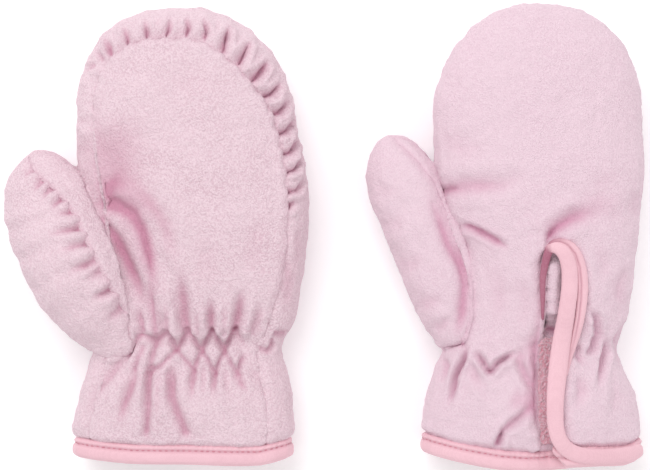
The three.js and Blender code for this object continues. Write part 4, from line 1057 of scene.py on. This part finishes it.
seamGroove = {
    "width": 0.28, "depth": 0.35, "starts": (0.3, 0.45), "ends": (0.75, 0.95), "shadeTint": 0.4, "shade": 0.75,
    "deepest": 0.85,
}


# A rounded band along a route in plan. A row is its place, its width, and its height above the cloth below.
def sweptBand(node, name, rows, onNodes, values):
    centre, width = bandRoute(rows, treeOf(onNodes), values)
    piece = bpy.data.objects.new(name, bandMesh(name, centre, width, values))
    bpy.context.scene.collection.objects.link(piece)
    cleaned(piece)
    remeshed(piece, values["voxel"])
    softened(piece, 4)
    points, normals = pointsOf(piece), normalsOf(piece)
    gap, place = alongLine(seenFromAbove(points), [plan(px, py) for px, py, _, _ in rows])
    inShade = 1 - eased(*values["shadedUntil"], place)
    groove = np.exp(-(((gap - values["grooveAt"]) / seamGroove["width"]) ** 2))
    groove *= eased(*seamGroove["starts"], place) * (1 - eased(*seamGroove["ends"], place))
    points -= (seamGroove["depth"] * groove * (normals[:, 2] > 0.2))[:, None] * normals
    putPoints(piece, points)
    # painted shade along the band's first part, down in the slit, and in its seam groove
    shadeTint = np.clip(seamGroove["shade"] * inShade + seamGroove["shadeTint"] * groove, 0, seamGroove["deepest"])
    finishPiece(piece, tape, node, shadeTint)
    return piece


# Values between the rows of a table, on a smooth curve through them
def cubicThrough(keys, column, at):
    keys, column = np.array(keys, float), np.array(column, float)
    slope = np.gradient(column, keys)
    i = np.clip(np.searchsorted(keys, at) - 1, 0, len(keys) - 2)
    span = keys[i + 1] - keys[i]
    t = (at - keys[i]) / span
    return (
        (2 * t**3 - 3 * t**2 + 1) * column[i] + (t**3 - 2 * t**2 + t) * span * slope[i]
        + (3 * t**2 - 2 * t**3) * column[i + 1] + (t**3 - t**2) * span * slope[i + 1]
    )


bandValues = {
    "step": 0.7, "even": 6, "sides": 14, "crown": 1.15, "deep": 1.0, "voxel": 0.00032,
    "shadedUntil": (0.0, 0.03), "grooveAt": 9,
}
narrowValues = {
    "step": 0.6, "even": 5, "sides": 10, "crown": 0.75, "deep": 1.0, "voxel": 0.00028,
    "shadedUntil": (0.3, 0.44), "grooveAt": 0,
}
tapeValues = {"voxel": 0.00035, "soft": 5}
patchValues = {"voxel": 0.00035, "soft": 2, "rough": 0.0009, "roughSize": 0.0011, "shift": [-2.3, 0, 0.5]}

leftHem = hemPiece("left_hem_tape", "leftHemBinding", leftHandAxis, leftHemDrop)
leftFlapBand = tapePiece("left_flap_tape", "leftFlapBinding", tapeValues)
leftSlitBand = tapePiece("left_slit_tape", "leftSlitBinding", tapeValues)
leftStitches = stitchRow(leftHem, "leftHemStitches", leftHandAxis, leftHemDrop)

rightHem = hemPiece("right_hem_tape", "rightHemBinding", rightHandAxis, rightHemDrop)
flapPart = {"beyond": 69.5, "above": 8}
rightStitches = stitchRow(rightHem, "rightHemStitches", rightHandAxis, rightHemDrop, flapPart)
# from the hook at the top of the slit down to the flap's corner, and along the flap's hem
flapBandRows = [
    (546, 252, 2.2, -0.4), (550, 248.5, 3.2, 0.1), (555, 247.5, 3.9, 0.4), (561, 250, 4.3, 0.5),
    (566, 257, 4.7, 0.5), (568.5, 265, 4.9, 0.5), (569.5, 274, 5.0, 0.5), (569, 290, 5.1, 0.5),
    (567, 305, 5.1, 0.5), (564, 322, 5.3, 0.5), (561.5, 340, 5.6, 0.5), (559, 358, 5.8, 0.5),
    (556.8, 378, 5.7, 0.5), (555.3, 395, 5.4, 0.5), (554.8, 412, 5.2, 0.5), (555.5, 426, 5.0, 0.5),
    (558.5, 438, 4.9, 0.5), (565, 447.5, 4.9, 0.5), (575, 453.5, 5.0, 0.5), (588, 456, 5.0, 0.5),
    (604, 456.5, 5.0, 0.5), (622, 455, 5.0, 0.4), (634, 452.5, 4.8, 0.2), (640, 449, 4.2, -0.3),
]
rightFlapBand = sweptBand(
    "right_flap_tape", "rightFlapBinding", flapBandRows,
    ["right_flap_tape", "right_slit_tape", "right_back", "right_hem_tape"], bandValues,
)
slitBandRows = [
    (543, 320, 0.9, -0.6), (543, 300, 1.5, -0.4), (543, 278, 2.0, -0.1), (544.5, 262, 2.4, 0.1),
    (548, 250, 2.6, 0.2), (553, 243.5, 2.3, 0.3), (560, 242, 2.2, 0.3), (568, 245, 2.5, 0.3),
    (575.5, 254, 2.8, 0.3), (580, 268, 3.1, 0.3), (581.5, 284, 3.4, 0.3), (581, 300, 3.4, 0.3),
    (579, 318, 3.1, 0.3), (576, 334, 2.8, 0.2), (572.5, 348, 2.4, 0.1), (569, 362, 1.8, -0.1),
    (566, 376, 1.2, -0.4),
]
rightSlitBand = sweptBand(
    "right_slit_tape", "rightSlitBinding", slitBandRows, ["right_slit_tape", "right_back"], narrowValues
)
loopPatch = tapePiece("right_loop_tape", "rightLoopPatch", patchValues, fastener)
hookPatch = tapePiece("right_hook_tape", "rightHookPatch", patchValues, fastener)
print("bindings, stitches and patches are done")


# floor

paperValues = {
    "Base Color": (0.94, 0.935, 0.94, 1), "Roughness": 0.9,
    "Emission Color": (1, 0.99, 0.995, 1), "Emission Strength": 0.14,
}
selectNothing()
bpy.ops.mesh.primitive_plane_add(size=6, location=(0, 0, 0))
floor = bpy.context.active_object
floor.name = "floor"
paper = bpy.data.materials.new("paper")
paper.use_nodes = True
for label, value in paperValues.items():
    paper.node_tree.nodes["Principled BSDF"].inputs[label].default_value = value
floor.data.materials.append(paper)

print("the scene is complete")
